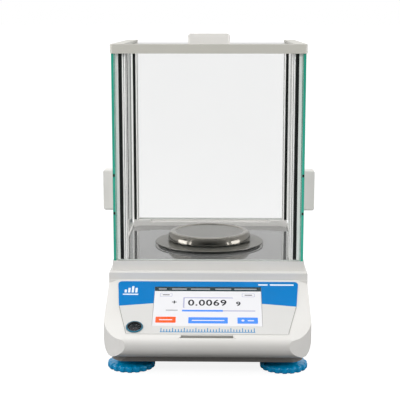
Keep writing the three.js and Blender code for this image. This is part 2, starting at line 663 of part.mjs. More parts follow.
function addPillars() {
  const rows = [
    ['front', CHAMBER_FRONT + PANE_THICKNESS + 0.5, FLOOR_Z + 0.2],
    ['rear', CHAMBER_REAR - PILLAR_DEPTH - 3, REAR_LEDGE_Z + 0.2],
  ];
  const top = FRAME_BOTTOM - GAP;
  for (const [row, y, bottom] of rows) {
    const { innerX, strip: [strip0, strip1] } = PILLAR_ROWS[row];
    for (const [name, side] of sides) {
      const across = (x) => side * (innerX + x);
      const section = pillarSection(PILLAR_ROWS[row]).map(([u, v]) => [across(u), y + v]);
      add(`${name}_${row}_pillar`, prismZ(section, bottom, top), aluminium);
      const [x0, x1] = [across(strip0 + 0.2), across(strip1 - 0.2)].sort((a, b) => a - b);
      const strip = block(x0, x1, y + GAP, y + STRIP_DEPTH - GAP, bottom + 0.5, top - 0.5);
      add(`${name}_${row}_seal_strip`, strip, blackRubber);
    }
  }
}

function topFrame() {
  const frontInner = CHAMBER_FRONT - 2 + FRAME_BAR;
  const rearInner = CHAMBER_REAR - FRAME_BAR + 2;
  const past = CHAMBER_REAR + 1;
  const plan = roundedPlan(FRAME_HALF, CHAMBER_FRONT - 2, CHAMBER_REAR, 3);
  const opening = block(-FRAME_OPENING_HALF, FRAME_OPENING_HALF, frontInner, rearInner, 0, FAR);
  const overRearBar = block(
    -FRAME_OPENING_HALF, FRAME_OPENING_HALF, rearInner - 1, past, TOP_DOOR_Z - GAP, FAR,
  );
  const topGroove = block(
    -TOP_DOOR_HALF - 0.4, TOP_DOOR_HALF + 0.4, frontInner, past,
    TOP_DOOR_Z - GAP, TOP_DOOR_Z + PANE_THICKNESS + GAP,
  );
  const sideGrooves = sides.map(([, side]) => {
    const [x0, x1] = [
      side * (DOOR_INNER_X - GAP),
      side * (DOOR_INNER_X + DOOR_THICKNESS + GAP),
    ].sort((a, b) => a - b);
    return block(x0, x1, CHAMBER_FRONT - GAP, past, FRAME_BOTTOM - 1, FRAME_BOTTOM + 4);
  });
  const frontGroove = block(
    -DOOR_INNER_X, DOOR_INNER_X, CHAMBER_FRONT - GAP, CHAMBER_FRONT + PANE_THICKNESS + GAP,
    FRAME_BOTTOM - 1, FRAME_BOTTOM + 4,
  );
  const frame = prismZ(plan, FRAME_BOTTOM, FRAME_TOP);
  return cut(frame, opening, overRearBar, topGroove, ...sideGrooves, frontGroove);
}

function doorRail(side) {
  const [x0, x1] = [side * (CHAMBER_HALF + GAP), side * PLINTH_HALF].sort((a, b) => a - b);
  const [g0, g1] = [
    side * (DOOR_INNER_X - GAP),
    side * (DOOR_INNER_X + DOOR_THICKNESS + GAP),
  ].sort((a, b) => a - b);
  return cut(
    block(x0, x1, CHAMBER_FRONT - GAP, CHAMBER_REAR, RAIL_Z, FLOOR_Z + 0.2),
    block(g0, g1, CHAMBER_FRONT - 1, CHAMBER_REAR + 1, DOOR_BOTTOM - 0.4, FLOOR_Z + 1),
  );
}

// Handle lying on z = 0, its length along X, with rounded ends and a shallow grip on its front face.
function handleSolid() {
  const half = HANDLE_LENGTH / 2;
  const body = prismZ(roundedPlan(half, 0, HANDLE_DEPTH, 2.5), 0, HANDLE_RISE);
  const crown = prismY([
    [-half, -1], [half, -1], [half, HANDLE_RISE - 2], [half - 2, HANDLE_RISE],
    [-half + 2, HANDLE_RISE], [-half, HANDLE_RISE - 2],
  ], -1, HANDLE_DEPTH + 1);
  return common(body, crown);
}

function addSideDoor(name, side) {
  const [x0, x1] = [
    side * DOOR_INNER_X,
    side * (DOOR_INNER_X + DOOR_THICKNESS),
  ].sort((a, b) => a - b);
  add(`${name}_door`, block(x0, x1, CHAMBER_FRONT, CHAMBER_REAR - 2, DOOR_BOTTOM, DOOR_TOP), glass);
  const face = DOOR_INNER_X + DOOR_THICKNESS;
  const places = [['lower', -1], ['upper', 1]];
  for (const [place, way] of places) {
    const [p0, p1] = [side * (face + 0.1), side * (face + 0.1 + PAD_THICKNESS)].sort((a, b) => a - b);
    const z = SIDE_HANDLE_Z + way * PAD_SPACING / 2;
    const pad = cylinderX(PAD_R, p0, p1, HANDLE_FRONT + HANDLE_DEPTH / 2, z);
    add(`${name}_handle_${place}_pad`, pad, blackRubber);
  }
  const outward = new THREE.Matrix4().makeBasis(
    new THREE.Vector3(0, 0, side),
    new THREE.Vector3(0, 1, 0),
    new THREE.Vector3(-side, 0, 0),
  );
  // The basis above turns the handle's length upright and its crown away from the chamber.
  const turnedOut = outward.multiply(new THREE.Matrix4().makeRotationY(Math.PI));
  const standOff = side * (face + 0.2 + PAD_THICKNESS);
  const matrix = new THREE.Matrix4()
    .makeTranslation(standOff, HANDLE_FRONT, SIDE_HANDLE_Z)
    .multiply(turnedOut);
  add(`${name}_handle`, placed(handleSolid(), matrix), handlePlastic);
}

function addTopDoor() {
  const front = CHAMBER_FRONT - 2 + FRAME_BAR + GAP;
  const rear = CHAMBER_REAR - FRAME_BAR + 3.5;
  const top = TOP_DOOR_Z + PANE_THICKNESS;
  add('top_door', block(-TOP_DOOR_HALF, TOP_DOOR_HALF, front, rear, TOP_DOOR_Z, top), glass);
  for (const [name, side] of sides) {
    const pad = cylinder(
      PAD_R, top + 0.1, top + 0.1 + PAD_THICKNESS,
      side * PAD_SPACING / 2, HANDLE_FRONT + HANDLE_DEPTH / 2, 24,
    );
    add(`top_handle_${name}_pad`, pad, blackRubber);
  }
  add('top_handle', moved(handleSolid(), 0, HANDLE_FRONT, top + 0.2 + PAD_THICKNESS), handlePlastic);
}

function addDraftShield() {
  addPillars();
  add('top_frame', topFrame(), framePlastic);
  const paneHalf = DOOR_INNER_X - 0.5;
  add('front_glass', block(
    -paneHalf, paneHalf, CHAMBER_FRONT, CHAMBER_FRONT + PANE_THICKNESS, FLOOR_Z + 0.5, DOOR_TOP,
  ), glass);
  const rearPaneY = CHAMBER_REAR - 3 - PILLAR_DEPTH / 2 - PANE_THICKNESS / 2;
  const rearPaneHalf = PILLAR_ROWS.rear.innerX + CHANNEL[0] - 0.4;
  add('rear_glass', block(
    -rearPaneHalf, rearPaneHalf, rearPaneY, rearPaneY + PANE_THICKNESS,
    REAR_LEDGE_Z + GAP, FRAME_BOTTOM - 0.5,
  ), glass);
  for (const [name, side] of sides) {
    add(`${name}_door_rail`, doorRail(side), shellPlastic);
    addSideDoor(name, side);
  }
  addTopDoor();
}

// ---------------------------------------------------------------- feet

// Levelling knob: a toothed rim under a cone, with a blind bore for its stud.
function footKnob(x, y) {
  const body = turned([
    [0, 0], [KNOB_R - 1.5, 0], [KNOB_R, 1.2], [KNOB_R, KNOB_RIM - 1.8], [KNOB_R - 2.4, KNOB_RIM],
    [10, KNOB_TOP - 1.4], [9, KNOB_TOP], [0, KNOB_TOP],
  ], x, y, 36);
  const notches = Array.from({ length: KNOB_TEETH }, (_, i) => {
    const angle = (i / KNOB_TEETH) * 2 * Math.PI;
    return cylinder(
      1.9, -1, KNOB_RIM + 1, x + (KNOB_R + 0.7) * Math.cos(angle), y + (KNOB_R + 0.7) * Math.sin(angle), 6,
    );
  });
  return cut(body, ...notches, cylinder(STUD_R + 0.2, 2.6, 20, x, y, 24));
}

function addFeet() {
  for (const [name, side] of sides) {
    const x = side * FOOT_X;
    add(`${name}_foot_knob`, footKnob(x, FRONT_FOOT_Y), footPlastic);
    add(`${name}_foot_stud`, cylinder(STUD_R, 3, 34, x, FRONT_FOOT_Y, 24), steel);
    add(`${name}_rear_foot`, turned([
      [0, 0], [13, 0], [14, 1], [15.5, TRIM_BOTTOM - GAP], [0, TRIM_BOTTOM - GAP],
    ], x, REAR_FOOT_Y, 32), blackRubber);
  }
}

// ---------------------------------------------------------------- electronics and connectors

function mainBoard() {
  const board = block(-79, -30, 20, 130, 30, 31.6);
  const parts = [
    block(-72, -56, 36, 52, 31, 34),
    block(-52, -40, 44, 56, 31, 33.4),
    block(-76, -66, 90, 118, 31, 44),
    cylinder(6, 31, 46, -52, 104, 16),
    cylinder(6, 31, 46, -52, 84, 16),
  ];
  const standOffs = [[-75, 24], [-34, 24], [-75, 126], [-34, 126]].map(([x, y]) =>
    cylinder(2.6, TRIM_TOP + GAP, 30.5, x, y, 12));
  return joined(board, ...parts, ...standOffs);
}

// Recessed tray behind the shell's rear opening.
function connectorBay() {
  const rim = 3;
  return cut(
    block(-BAY_HALF - rim, BAY_HALF + rim, BAY_PLATE_Y - 3, REAR - WALL - GAP, BAY_Z[0] - rim, BAY_Z[1] + rim),
    block(-BAY_HALF, BAY_HALF, BAY_PLATE_Y - 1, REAR, BAY_Z[0], BAY_Z[1]),
  );
}

function addElectronics() {
  add('main_board', mainBoard(), boardGreen);
  add('connector_bay', connectorBay(), darkPlastic);
  const face = BAY_PLATE_Y - 1 + GAP;
  const z = (BAY_Z[0] + BAY_Z[1]) / 2;
  const power = cut(
    cylinderY(5.6, face, REAR - 2, 36, z),
    cylinderY(3.2, face + 2, REAR, 36, z),
  );
  add('power_socket', power, blackRubber);
  const serial = joined(
    block(-15.5, 15.5, face, face + 1.6, z - 6.3, z + 6.3),
    prismY([[-8.2, z - 4.2], [8.2, z - 4.2], [9.4, z + 4.2], [-9.4, z + 4.2]], face + 1, REAR - 3),
  );
  add('serial_port', serial, steel);
  const usbX = -36;
  const usb = cut(
    block(usbX - 6, usbX + 6, face, REAR - 3, z - 5.4, z + 5.4),
    block(usbX - 4.4, usbX + 4.4, face + 2, REAR, z - 4, z + 4),
  );
  add('usb_port', usb, steel);
}

addShell();
addControlPanel();
addWeighingParts();
addDraftShield();
addFeet();
addElectronics();

export default balance;
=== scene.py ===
"""Looks of the analytical balance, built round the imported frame. Metres, +Z up, the panel faces -Y."""

import json
import math

import bmesh
import bpy
from mathutils import Matrix, Vector

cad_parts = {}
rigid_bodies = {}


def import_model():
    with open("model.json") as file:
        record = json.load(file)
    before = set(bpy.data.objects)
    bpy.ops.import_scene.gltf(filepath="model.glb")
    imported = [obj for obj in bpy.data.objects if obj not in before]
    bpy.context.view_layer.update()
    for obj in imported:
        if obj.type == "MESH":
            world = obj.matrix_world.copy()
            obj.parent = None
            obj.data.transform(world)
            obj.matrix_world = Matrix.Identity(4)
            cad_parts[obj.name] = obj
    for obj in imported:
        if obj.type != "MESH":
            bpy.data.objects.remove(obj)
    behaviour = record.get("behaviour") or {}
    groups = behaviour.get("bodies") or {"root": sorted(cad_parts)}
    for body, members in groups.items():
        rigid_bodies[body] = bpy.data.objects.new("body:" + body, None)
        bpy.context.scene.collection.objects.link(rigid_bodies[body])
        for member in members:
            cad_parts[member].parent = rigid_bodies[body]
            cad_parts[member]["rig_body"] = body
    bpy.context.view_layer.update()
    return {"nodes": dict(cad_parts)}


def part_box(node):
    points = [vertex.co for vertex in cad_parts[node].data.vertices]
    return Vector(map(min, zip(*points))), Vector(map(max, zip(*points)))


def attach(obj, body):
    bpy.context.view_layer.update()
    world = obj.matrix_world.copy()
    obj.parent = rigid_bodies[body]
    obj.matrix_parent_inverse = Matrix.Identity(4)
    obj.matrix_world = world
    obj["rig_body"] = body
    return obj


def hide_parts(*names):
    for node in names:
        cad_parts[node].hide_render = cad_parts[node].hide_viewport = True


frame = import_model()
NODES = frame["nodes"]
MM = 0.001

# ---------------------------------------------------------------- places worked out from the frame

SCREEN_LOW, SCREEN_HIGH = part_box("touch_screen")
LEVEL_LOW, LEVEL_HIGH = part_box("level_bezel")
PAN_LOW, PAN_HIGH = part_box("weighing_pan")
RING_LOW, RING_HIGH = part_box("draft_ring")

PANEL_ANGLE = math.radians(23.5)
PANEL_TOP = Vector((0, -81 * MM, 81 * MM))
# Panel axes: x across, y up the slope, z outwards. Points on the panel have y < 0.
PANEL = Matrix.Translation(PANEL_TOP) @ Matrix.Rotation(PANEL_ANGLE, 4, "X")
PAN_CENTRE = (PAN_LOW + PAN_HIGH) / 2


# ---------------------------------------------------------------- camera, floor and light

SENSOR_WIDTH = 36
FOCAL_LENGTH = 95.4
CAMERA_PLACE = (0.0143, -1.1962, 0.3634)
CAMERA_DOWN = 0.171565
CAMERA_TURN = 0.020686

FLOOR_HALF = 40
PAPER_GLOW = 0.88
LIGHT_TARGET = (0, 0, 0.1)


def add_to_scene(item):
    bpy.context.scene.collection.objects.link(item)
    return item


def make_camera():
    data = bpy.data.cameras.new("camera")
    data.sensor_width = SENSOR_WIDTH
    data.lens = FOCAL_LENGTH
    camera = add_to_scene(bpy.data.objects.new("camera", data))
    camera.location = CAMERA_PLACE
    camera.rotation_euler = (math.pi / 2 - CAMERA_DOWN, 0, CAMERA_TURN)
    bpy.context.scene.camera = camera


def math_node(tree, operation, first, second=None, clamp=False):
    node = tree.nodes.new("ShaderNodeMath")
    node.operation = operation
    node.use_clamp = clamp
    for socket, value in zip(node.inputs, (first, second)):
        if value is None:
            continue
        if isinstance(value, (int, float)):
            socket.default_value = value
        else:
            tree.links.new(value, socket)
    return node.outputs[0]


def ramp(tree, factor, stops):
    node = tree.nodes.new("ShaderNodeValToRGB")
    elements = node.color_ramp.elements
    while len(elements) < len(stops):
        elements.new(0.5)
    for element, (position, color) in zip(elements, stops):
        element.position = position
        element.color = (*color, 1) if len(color) == 3 else color
    tree.links.new(factor, node.inputs["Fac"])
    return node.outputs["Color"]


def make_world():
    """Studio that the camera sees as white. It is dim behind the camera, where polished metal reflects it."""
    world = bpy.data.worlds.new("studio")
    bpy.context.scene.world = world
    world.use_nodes = True
    tree = world.node_tree
    tree.nodes.clear()
    coordinates = tree.nodes.new("ShaderNodeTexCoord")
    split = tree.nodes.new("ShaderNodeSeparateXYZ")
    tree.links.new(coordinates.outputs["Generated"], split.inputs[0])
    towards_front = math_node(tree, "MULTIPLY_ADD", split.outputs["Y"], -0.5)
    towards_front.node.inputs[2].default_value = 0.5
    shade = ramp(tree, towards_front, [
        (0.0, (0.84, 0.84, 0.84)),
        (0.3, (1, 1, 1)),
        (0.5, (1, 1, 1)),
        (0.68, (0.85, 0.85, 0.85)),
        (0.825, (0.4, 0.4, 0.4)),
        (0.94, (0.18, 0.175, 0.17)),
        (0.98, (0.06, 0.055, 0.05)),
        (1.0, (0.02, 0.02, 0.02)),
    ])
    path = tree.nodes.new("ShaderNodeLightPath")
    seen = tree.nodes.new("ShaderNodeMix")
    seen.data_type = "RGBA"
    seen.inputs["B"].default_value = (1, 1, 1, 1)
    tree.links.new(path.outputs["Is Camera Ray"], seen.inputs["Factor"])
    tree.links.new(shade, seen.inputs["A"])
    background = tree.nodes.new("ShaderNodeBackground")
    tree.links.new(seen.outputs["Result"], background.inputs["Color"])
    background.inputs["Strength"].default_value = 1.0
    output = tree.nodes.new("ShaderNodeOutputWorld")
    tree.links.new(background.outputs[0], output.inputs["Surface"])


def make_light(name, location, target, size, power, mirrored=False):
    """Softbox, which lights what is matt, or a mirrored card, which shows only in reflections."""
    data = bpy.data.lights.new(name, "AREA")
    data.shape = "RECTANGLE"
    data.size, data.size_y = size
    data.energy = power
    light = add_to_scene(bpy.data.objects.new(name, data))
    light.location = location
    light.visible_glossy = mirrored
    light.visible_diffuse = not mirrored
    light.rotation_euler = (Vector(target) - Vector(location)).to_track_quat("-Z", "Y").to_euler()


def floor_paper():
    """Paper that glows for the camera alone, so that it looks white and throws little light back."""
    material = bpy.data.materials.new("floor_paper")
    material.use_nodes = True
    tree = material.node_tree
    shader = tree.nodes["Principled BSDF"]
    shader.inputs["Base Color"].default_value = (0.2, 0.2, 0.2, 1)
    shader.inputs["Roughness"].default_value = 0.9
    shader.inputs["Emission Color"].default_value = (1, 1, 1, 1)
    path = tree.nodes.new("ShaderNodeLightPath")
    glow = math_node(tree, "MULTIPLY", path.outputs["Is Camera Ray"], PAPER_GLOW)
    tree.links.new(glow, shader.inputs["Emission Strength"])
    return material


def make_floor():
    bm = bmesh.new()
    bmesh.ops.create_grid(bm, x_segments=1, y_segments=1, size=FLOOR_HALF)
    mesh = bpy.data.meshes.new("floor")
    bm.to_mesh(mesh)
    bm.free()
    mesh.materials.append(floor_paper())
    add_to_scene(bpy.data.objects.new("floor", mesh))


def make_studio():
    bpy.context.scene.view_settings.view_transform = "Standard"
    make_world()
    make_light("softbox_key", (-0.95, -1.35, 1.05), LIGHT_TARGET, (0.9, 0.6), 12.5)
    make_light("softbox_fill", (1.05, -1.3, 1.05), LIGHT_TARGET, (0.7, 0.6), 8.5)
    for side, power, shine in ((-1, 4.5, 12), (1, 3.2, 10)):
        make_light(f"softbox_side_{side + 1}", (side * 1.5, -0.4, 0.22), LIGHT_TARGET, (0.8, 0.36), power)
        make_light(f"card_{side + 1}", (side * 1.47, -0.49, 0.3), LIGHT_TARGET, (1.22, 0.66), shine, True)
    make_light("softbox_top", (0, 0.1, 1.5), (0, 0, 0), (1.2, 1.2), 4)
    make_floor()


make_camera()
make_studio()


# ---------------------------------------------------------------- materials

class Look:
    """A Principled material with fine surface detail, built node by node."""

    def __init__(self, name, color, roughness, metallic=0.0, specular=0.5):
        self.material = bpy.data.materials.new(name)
        self.material.use_nodes = True
        self.tree = self.material.node_tree
        self.shader = self.tree.nodes["Principled BSDF"]
        self.shader.inputs["Base Color"].default_value = (*color, 1)
        self.shader.inputs["Roughness"].default_value = roughness
        self.shader.inputs["Metallic"].default_value = metallic
        self.shader.inputs["Specular IOR Level"].default_value = specular
        self.color = color
        self.roughness = roughness
        self.height = None

    def coordinates(self, scale=(1, 1, 1)):
        source = self.tree.nodes.new("ShaderNodeTexCoord")
        mapping = self.tree.nodes.new("ShaderNodeMapping")
        mapping.inputs["Scale"].default_value = scale
        self.tree.links.new(source.outputs["Object"], mapping.inputs["Vector"])
        return mapping.outputs["Vector"]

    def noise(self, scale, detail=3.0, stretch=(1, 1, 1)):
        node = self.tree.nodes.new("ShaderNodeTexNoise")
        node.inputs["Scale"].default_value = scale
        node.inputs["Detail"].default_value = detail
        self.tree.links.new(self.coordinates(stretch), node.inputs["Vector"])
        return node.outputs["Fac"]

    def vary_color(self, factor, amount, tint=(1, 1, 1)):
        """Mixes the base colour with a slightly darker, tinted one."""
        dark = tuple(c * (1 - amount) * t for c, t in zip(self.color, tint))
        mixed = ramp(self.tree, factor, [(0.3, self.color), (0.7, dark)])
        self.tree.links.new(mixed, self.shader.inputs["Base Color"])
        return self

    def vary_roughness(self, factor, spread):
        node = self.tree.nodes.new("ShaderNodeMapRange")
        node.inputs["To Min"].default_value = max(self.roughness - spread, 0)
        node.inputs["To Max"].default_value = self.roughness + spread
        self.tree.links.new(factor, node.inputs["Value"])
        self.tree.links.new(node.outputs["Result"], self.shader.inputs["Roughness"])
        return self

    def bump(self, height, distance, strength=0.5):
        node = self.tree.nodes.new("ShaderNodeBump")
        node.inputs["Strength"].default_value = strength
        node.inputs["Distance"].default_value = distance
        self.tree.links.new(height, node.inputs["Height"])
        if self.height is not None:
            self.tree.links.new(self.height, node.inputs["Normal"])
        self.height = node.outputs["Normal"]
        self.tree.links.new(self.height, self.shader.inputs["Normal"])
        return self


def moulded(name, color, roughness, grain=1400.0):
    """Moulded plastic: fine spark-eroded grain, faint cloudiness and uneven gloss."""
    look = Look(name, color, roughness)
    look.vary_color(look.noise(14, 2), 0.035, (1, 0.995, 0.985))
    look.vary_roughness(look.noise(60, 4), 0.05)
    return look.bump(look.noise(grain, 2), 0.00006, 0.35).material


def brushed(name, color, roughness, stretch, metallic=1.0, depth=0.00003, glow=0.0):
    """Metal with fine lines: noise squeezed across the brushing direction. A glow, when given, is painted
    light that lifts metal lying in shade.
    """
    look = Look(name, color, roughness, metallic)
    look.shader.inputs["Emission Color"].default_value = (*color, 1)
    look.shader.inputs["Emission Strength"].default_value = glow
    lines = look.noise(30, 5, stretch)
    look.vary_color(lines, 0.08)
    look.vary_roughness(look.noise(9, 3), 0.04)
    return look.bump(lines, depth, 0.25).material


def polished(name, color, roughness, metallic=1.0):
    """Polished metal, or glossy plastic when it isn't metallic, with faint smears and fine dimples."""
    look = Look(name, color, roughness, metallic)
    look.vary_color(look.noise(25, 3), 0.04)
    look.vary_roughness(look.noise(120, 6), 0.035)
    return look.bump(look.noise(350, 3), 0.00002, 0.15).material


def concentric(name, color, roughness, centre, metallic=1.0):
    """Lathe-turned metal: rings round a vertical axis."""
    look = Look(name, color, roughness, metallic)
    tree = look.tree
    source = tree.nodes.new("ShaderNodeTexCoord")
    shift = tree.nodes.new("ShaderNodeVectorMath")
    shift.operation = "SUBTRACT"
    shift.inputs[1].default_value = (centre.x, centre.y, 0)
    tree.links.new(source.outputs["Object"], shift.inputs[0])
    flat = tree.nodes.new("ShaderNodeVectorMath")
    flat.operation = "MULTIPLY"
    flat.inputs[1].default_value = (1, 1, 0)
    tree.links.new(shift.outputs[0], flat.inputs[0])
    length = tree.nodes.new("ShaderNodeVectorMath")
    length.operation = "LENGTH"
    tree.links.new(flat.outputs[0], length.inputs[0])
    rings = tree.nodes.new("ShaderNodeTexNoise")
    rings.noise_dimensions = "1D"
    rings.inputs["Detail"].default_value = 4
    tree.links.new(math_node(tree, "MULTIPLY", length.outputs["Value"], 2600.0), rings.inputs["W"])
    rings.inputs["Scale"].default_value = 1
    look.vary_color(rings.outputs["Fac"], 0.05)
    look.vary_roughness(look.noise(30, 3), 0.04)
    return look.bump(rings.outputs["Fac"], 0.00003, 0.25).material


def pane_glass():
    """Thin clear glass: nearly nothing face on, a mirror at a glancing angle. Only the near face shows."""
    look = Look("pane_glass", (0.03, 0.045, 0.04), 0.02, specular=0.8)
    fresnel = look.tree.nodes.new("ShaderNodeFresnel")
    fresnel.inputs["IOR"].default_value = 1.5
    reflecting = look.tree.nodes.new("ShaderNodeMapRange")
    reflecting.inputs["From Min"].default_value = 0.04
    reflecting.inputs["From Max"].default_value = 0.45
    reflecting.inputs["To Min"].default_value = 0.105
    reflecting.inputs["To Max"].default_value = 0.97
    look.tree.links.new(fresnel.outputs[0], reflecting.inputs["Value"])
    smears = math_node(look.tree, "MULTIPLY", look.noise(18, 4), 0.02)
    alpha = math_node(look.tree, "ADD", reflecting.outputs["Result"], smears, clamp=True)
    path = look.tree.nodes.new("ShaderNodeLightPath")
    geometry = look.tree.nodes.new("ShaderNodeNewGeometry")
    indirect = math_node(
        look.tree, "MAXIMUM", path.outputs["Is Shadow Ray"], path.outputs["Is Diffuse Ray"],
    )
    unseen = math_node(look.tree, "MAXIMUM", indirect, geometry.outputs["Backfacing"])
    passing = math_node(look.tree, "SUBTRACT", 1, unseen)
    look.tree.links.new(math_node(look.tree, "MULTIPLY", alpha, passing), look.shader.inputs["Alpha"])
    return look.material


def edge_glass_painted_glow():
    """The ground edge of float glass, deep green because the light crosses the whole pane. Its emission is a
    painted glow that keeps the edge bright and even where it would lie in shade.
    """
    look = Look("edge_glass_painted_glow", (0.012, 0.26, 0.175), 0.22, specular=0.7)
    streaks = look.noise(10, 3, (1, 1, 0.4))
    shade = ramp(look.tree, streaks, [(0.3, (0.008, 0.21, 0.14)), (0.7, (0.03, 0.34, 0.25))])
    look.tree.links.new(shade, look.shader.inputs["Base Color"])
    # Painted glow: the edge emits its own green, so that it stays bright in shade.
    look.tree.links.new(shade, look.shader.inputs["Emission Color"])
    look.shader.inputs["Emission Strength"].default_value = 0.35
    return look.bump(look.noise(900, 2), 0.00003, 0.3).material


def printed_film():
    """Panel overlay: blue above a shallow chevron, light grey below it, under a satin hard coat."""
    look = Look("printed_film", (0.0, 0.21, 0.64), 0.34, specular=0.12)
    tree = look.tree
    source = tree.nodes.new("ShaderNodeTexCoord")
    split = tree.nodes.new("ShaderNodeSeparateXYZ")
    tree.links.new(source.outputs["Object"], split.inputs[0])
    side = math_node(tree, "ABSOLUTE", split.outputs["X"])
    half_width, run, rise = 0.0925, 0.0436, 0.125
    inward = math_node(tree, "SUBTRACT", half_width, side)
    down_slope = math_node(tree, "MULTIPLY_ADD", inward, -rise)
    down_slope.node.inputs[2].default_value = run
    line = math_node(tree, "MULTIPLY", down_slope, -math.cos(PANEL_ANGLE))
    line = math_node(tree, "ADD", line, PANEL_TOP.y)
    above = math_node(tree, "GREATER_THAN", split.outputs["Y"], line)
    mottle = look.noise(40, 3)
    blue = ramp(tree, mottle, [(0.3, (0.0, 0.18, 0.50)), (0.7, (0.0, 0.168, 0.465))])
    grey = ramp(tree, mottle, [(0.3, (0.615, 0.61, 0.595)), (0.7, (0.6, 0.595, 0.58))])
    mix = tree.nodes.new("ShaderNodeMix")
    mix.data_type = "RGBA"
    tree.links.new(above, mix.inputs["Factor"])
    tree.links.new(grey, mix.inputs["A"])
    tree.links.new(blue, mix.inputs["B"])
    tree.links.new(mix.outputs["Result"], look.shader.inputs["Base Color"])
    look.vary_roughness(look.noise(80, 3), 0.04)
    return look.bump(look.noise(1800, 2), 0.00003, 0.25).material


def lit(name, color, glow=0.25, roughness=0.12):
    """Emitting material: the lit display behind its glass, and also a painted glow on the ring's underside
    and the level liquid, which are no lamps.
    """
    look = Look(name, color, roughness)
    look.shader.inputs["Emission Color"].default_value = (*color, 1)
    look.shader.inputs["Emission Strength"].default_value = glow
    return look.vary_roughness(look.noise(45, 3), 0.03).material


def printed(name, color):
    """Screen-printing ink, thin in places."""
    look = Look(name, color, 0.35, specular=0.3)
    look.vary_color(look.noise(700, 2), 0.06)
    return look.vary_roughness(look.noise(90, 3), 0.05).material


def lens_glass():
    """Clear domed lens over the level."""
    look = Look("lens_glass", (0.02, 0.025, 0.03), 0.04, specular=0.8)
    look.vary_roughness(look.noise(60, 3), 0.015)
    weight = look.tree.nodes.new("ShaderNodeLayerWeight")
    weight.inputs["Blend"].default_value = 0.3
    alpha = math_node(look.tree, "ADD", weight.outputs["Facing"], 0.12, clamp=True)
    look.tree.links.new(alpha, look.shader.inputs["Alpha"])
    return look.material


def rubber(name):
    look = Look(name, (0.01, 0.01, 0.01), 0.75, specular=0.25)
    look.vary_color(look.noise(60, 4), 0.3)
    return look.bump(look.noise(1200, 3), 0.00008, 0.4).material


def board_green():
    """Circuit board: solder mask over faint tracks."""
    look = Look("board_green", (0.015, 0.11, 0.045), 0.35)
    look.vary_color(look.noise(220, 1, (1, 0.2, 1)), 0.45)
    return look.bump(look.noise(700, 2), 0.00005, 0.3).material


SHELL = moulded("shell_plastic", (0.69, 0.68, 0.66), 0.42)
# Darker and warmer than the shell plastic, in part as painted shade for the frame's front faces.
FRAME_PLASTIC_SHADED = moulded("frame_plastic", (0.56, 0.55, 0.50), 0.36)
HANDLE = moulded("handle_plastic", (0.84, 0.825, 0.80), 0.33, 2200)
TRIM = moulded("base_paint", (0.19, 0.18, 0.17), 0.3, 900)
DARK = moulded("dark_plastic", (0.03, 0.03, 0.032), 0.45)
KNOB = polished("foot_plastic", (0.0, 0.27, 0.55), 0.12, 0.0)
TEAL = moulded("level_plastic", (0.012, 0.14, 0.22), 0.24, 2000)
FLOOR_STEEL = polished("floor_steel", (0.37, 0.37, 0.365), 0.06, 0.6)
STEEL = brushed("plain_steel", (0.60, 0.60, 0.59), 0.28, (1, 1, 8))
# The pillars' glow is painted light, lifting them where the doors and frame shade them.
PAINTED_GLOW_ALUMINIUM = brushed("pillar_aluminium_painted_glow", (0.93, 0.93, 0.91), 0.24, (4, 4, 0.2), 0.15, 0.00001, 0.16)
# Painted shade for the pillars' grooves and the gap beside the rubber strip.
GROOVE_SHADE = moulded("pillar_groove_shade", (0.02, 0.02, 0.02), 0.6)
PAN_TOP = concentric("pan_satin", (0.41, 0.40, 0.38), 0.33, PAN_CENTRE)
PAN_EDGE = polished("pan_polished", (0.47, 0.45, 0.41), 0.13)
# Painted shade: the same polished steel as the rim, made darker for the skirt.
PAN_SKIRT_SHADE = polished("pan_skirt_shaded", (0.24, 0.225, 0.2), 0.12)
RING_STEEL = concentric("ring_steel", (0.19, 0.182, 0.16), 0.22, PAN_CENTRE, 0.35)
# Painted shade: a darker copy of the ring steel that gives the rim its dark line.
RING_RIM_SHADE = polished("ring_rim_shaded", (0.12, 0.115, 0.11), 0.12)
# Painted glow on the edge of the ring's underside, standing for light thrown up by the floor; it is no lamp.
RING_PAINTED_GLOW = lit("ring_underside_painted_glow", (0.8, 0.79, 0.77), 0.6, 0.35)
BLACK_STEEL = polished("dark_steel", (0.05, 0.05, 0.055), 0.35, 0.6)
BRASS = brushed("contact_brass", (0.72, 0.52, 0.22), 0.3, (1, 1, 4))
RUBBER = rubber("rubber")
PANE = pane_glass()
GLOWING_EDGE = edge_glass_painted_glow()
FILM = printed_film()
BOARD = board_green()
# Painted shade: dark grey standing for the shadow in the slot under the nose and along the film's side
# creases.
SLOT_SHADE = moulded("painted_slot_shade", (0.2, 0.2, 0.18), 0.5)
SEATED_EDGE = moulded("seated_edge", (0.62, 0.66, 0.63), 0.3)
# The level liquid has a faint painted glow, though it is no lamp.
LIQUID_PAINTED_GLOW = lit("level_liquid", (0.16, 0.12, 0.13), 0.1, 0.1)
LENS = lens_glass()
DISPLAY_WHITE = lit("display_white", (0.62, 0.62, 0.64), 0.22)
DISPLAY_DARK = lit("display_dark", (0.008, 0.026, 0.032), 0.1)
DISPLAY_GREY = lit("display_grey", (0.28, 0.29, 0.31), 0.2)
DISPLAY_LILAC = lit("display_lilac", (0.36, 0.36, 0.5), 0.2)
DISPLAY_TEXT = lit("display_text", (0.02, 0.022, 0.028), 0.0)
DISPLAY_BLUE = lit("display_blue", (0.045, 0.20, 0.70), 0.3)
DISPLAY_ORANGE = lit("display_orange", (0.80, 0.075, 0.008), 0.3)
WHITE_PRINT = printed("white_print", (0.75, 0.80, 0.86))
BLUE_PRINT = printed("blue_print", (0.012, 0.22, 0.48))
BLACK_PRINT = printed("black_print", (0.02, 0.02, 0.02))


# ---------------------------------------------------------------- mesh helpers

WELD = 2e-6
FLAT_ANGLE = math.radians(0.6)
ROUNDED_ANGLE = math.radians(25)
ROUND_STEPS = 2


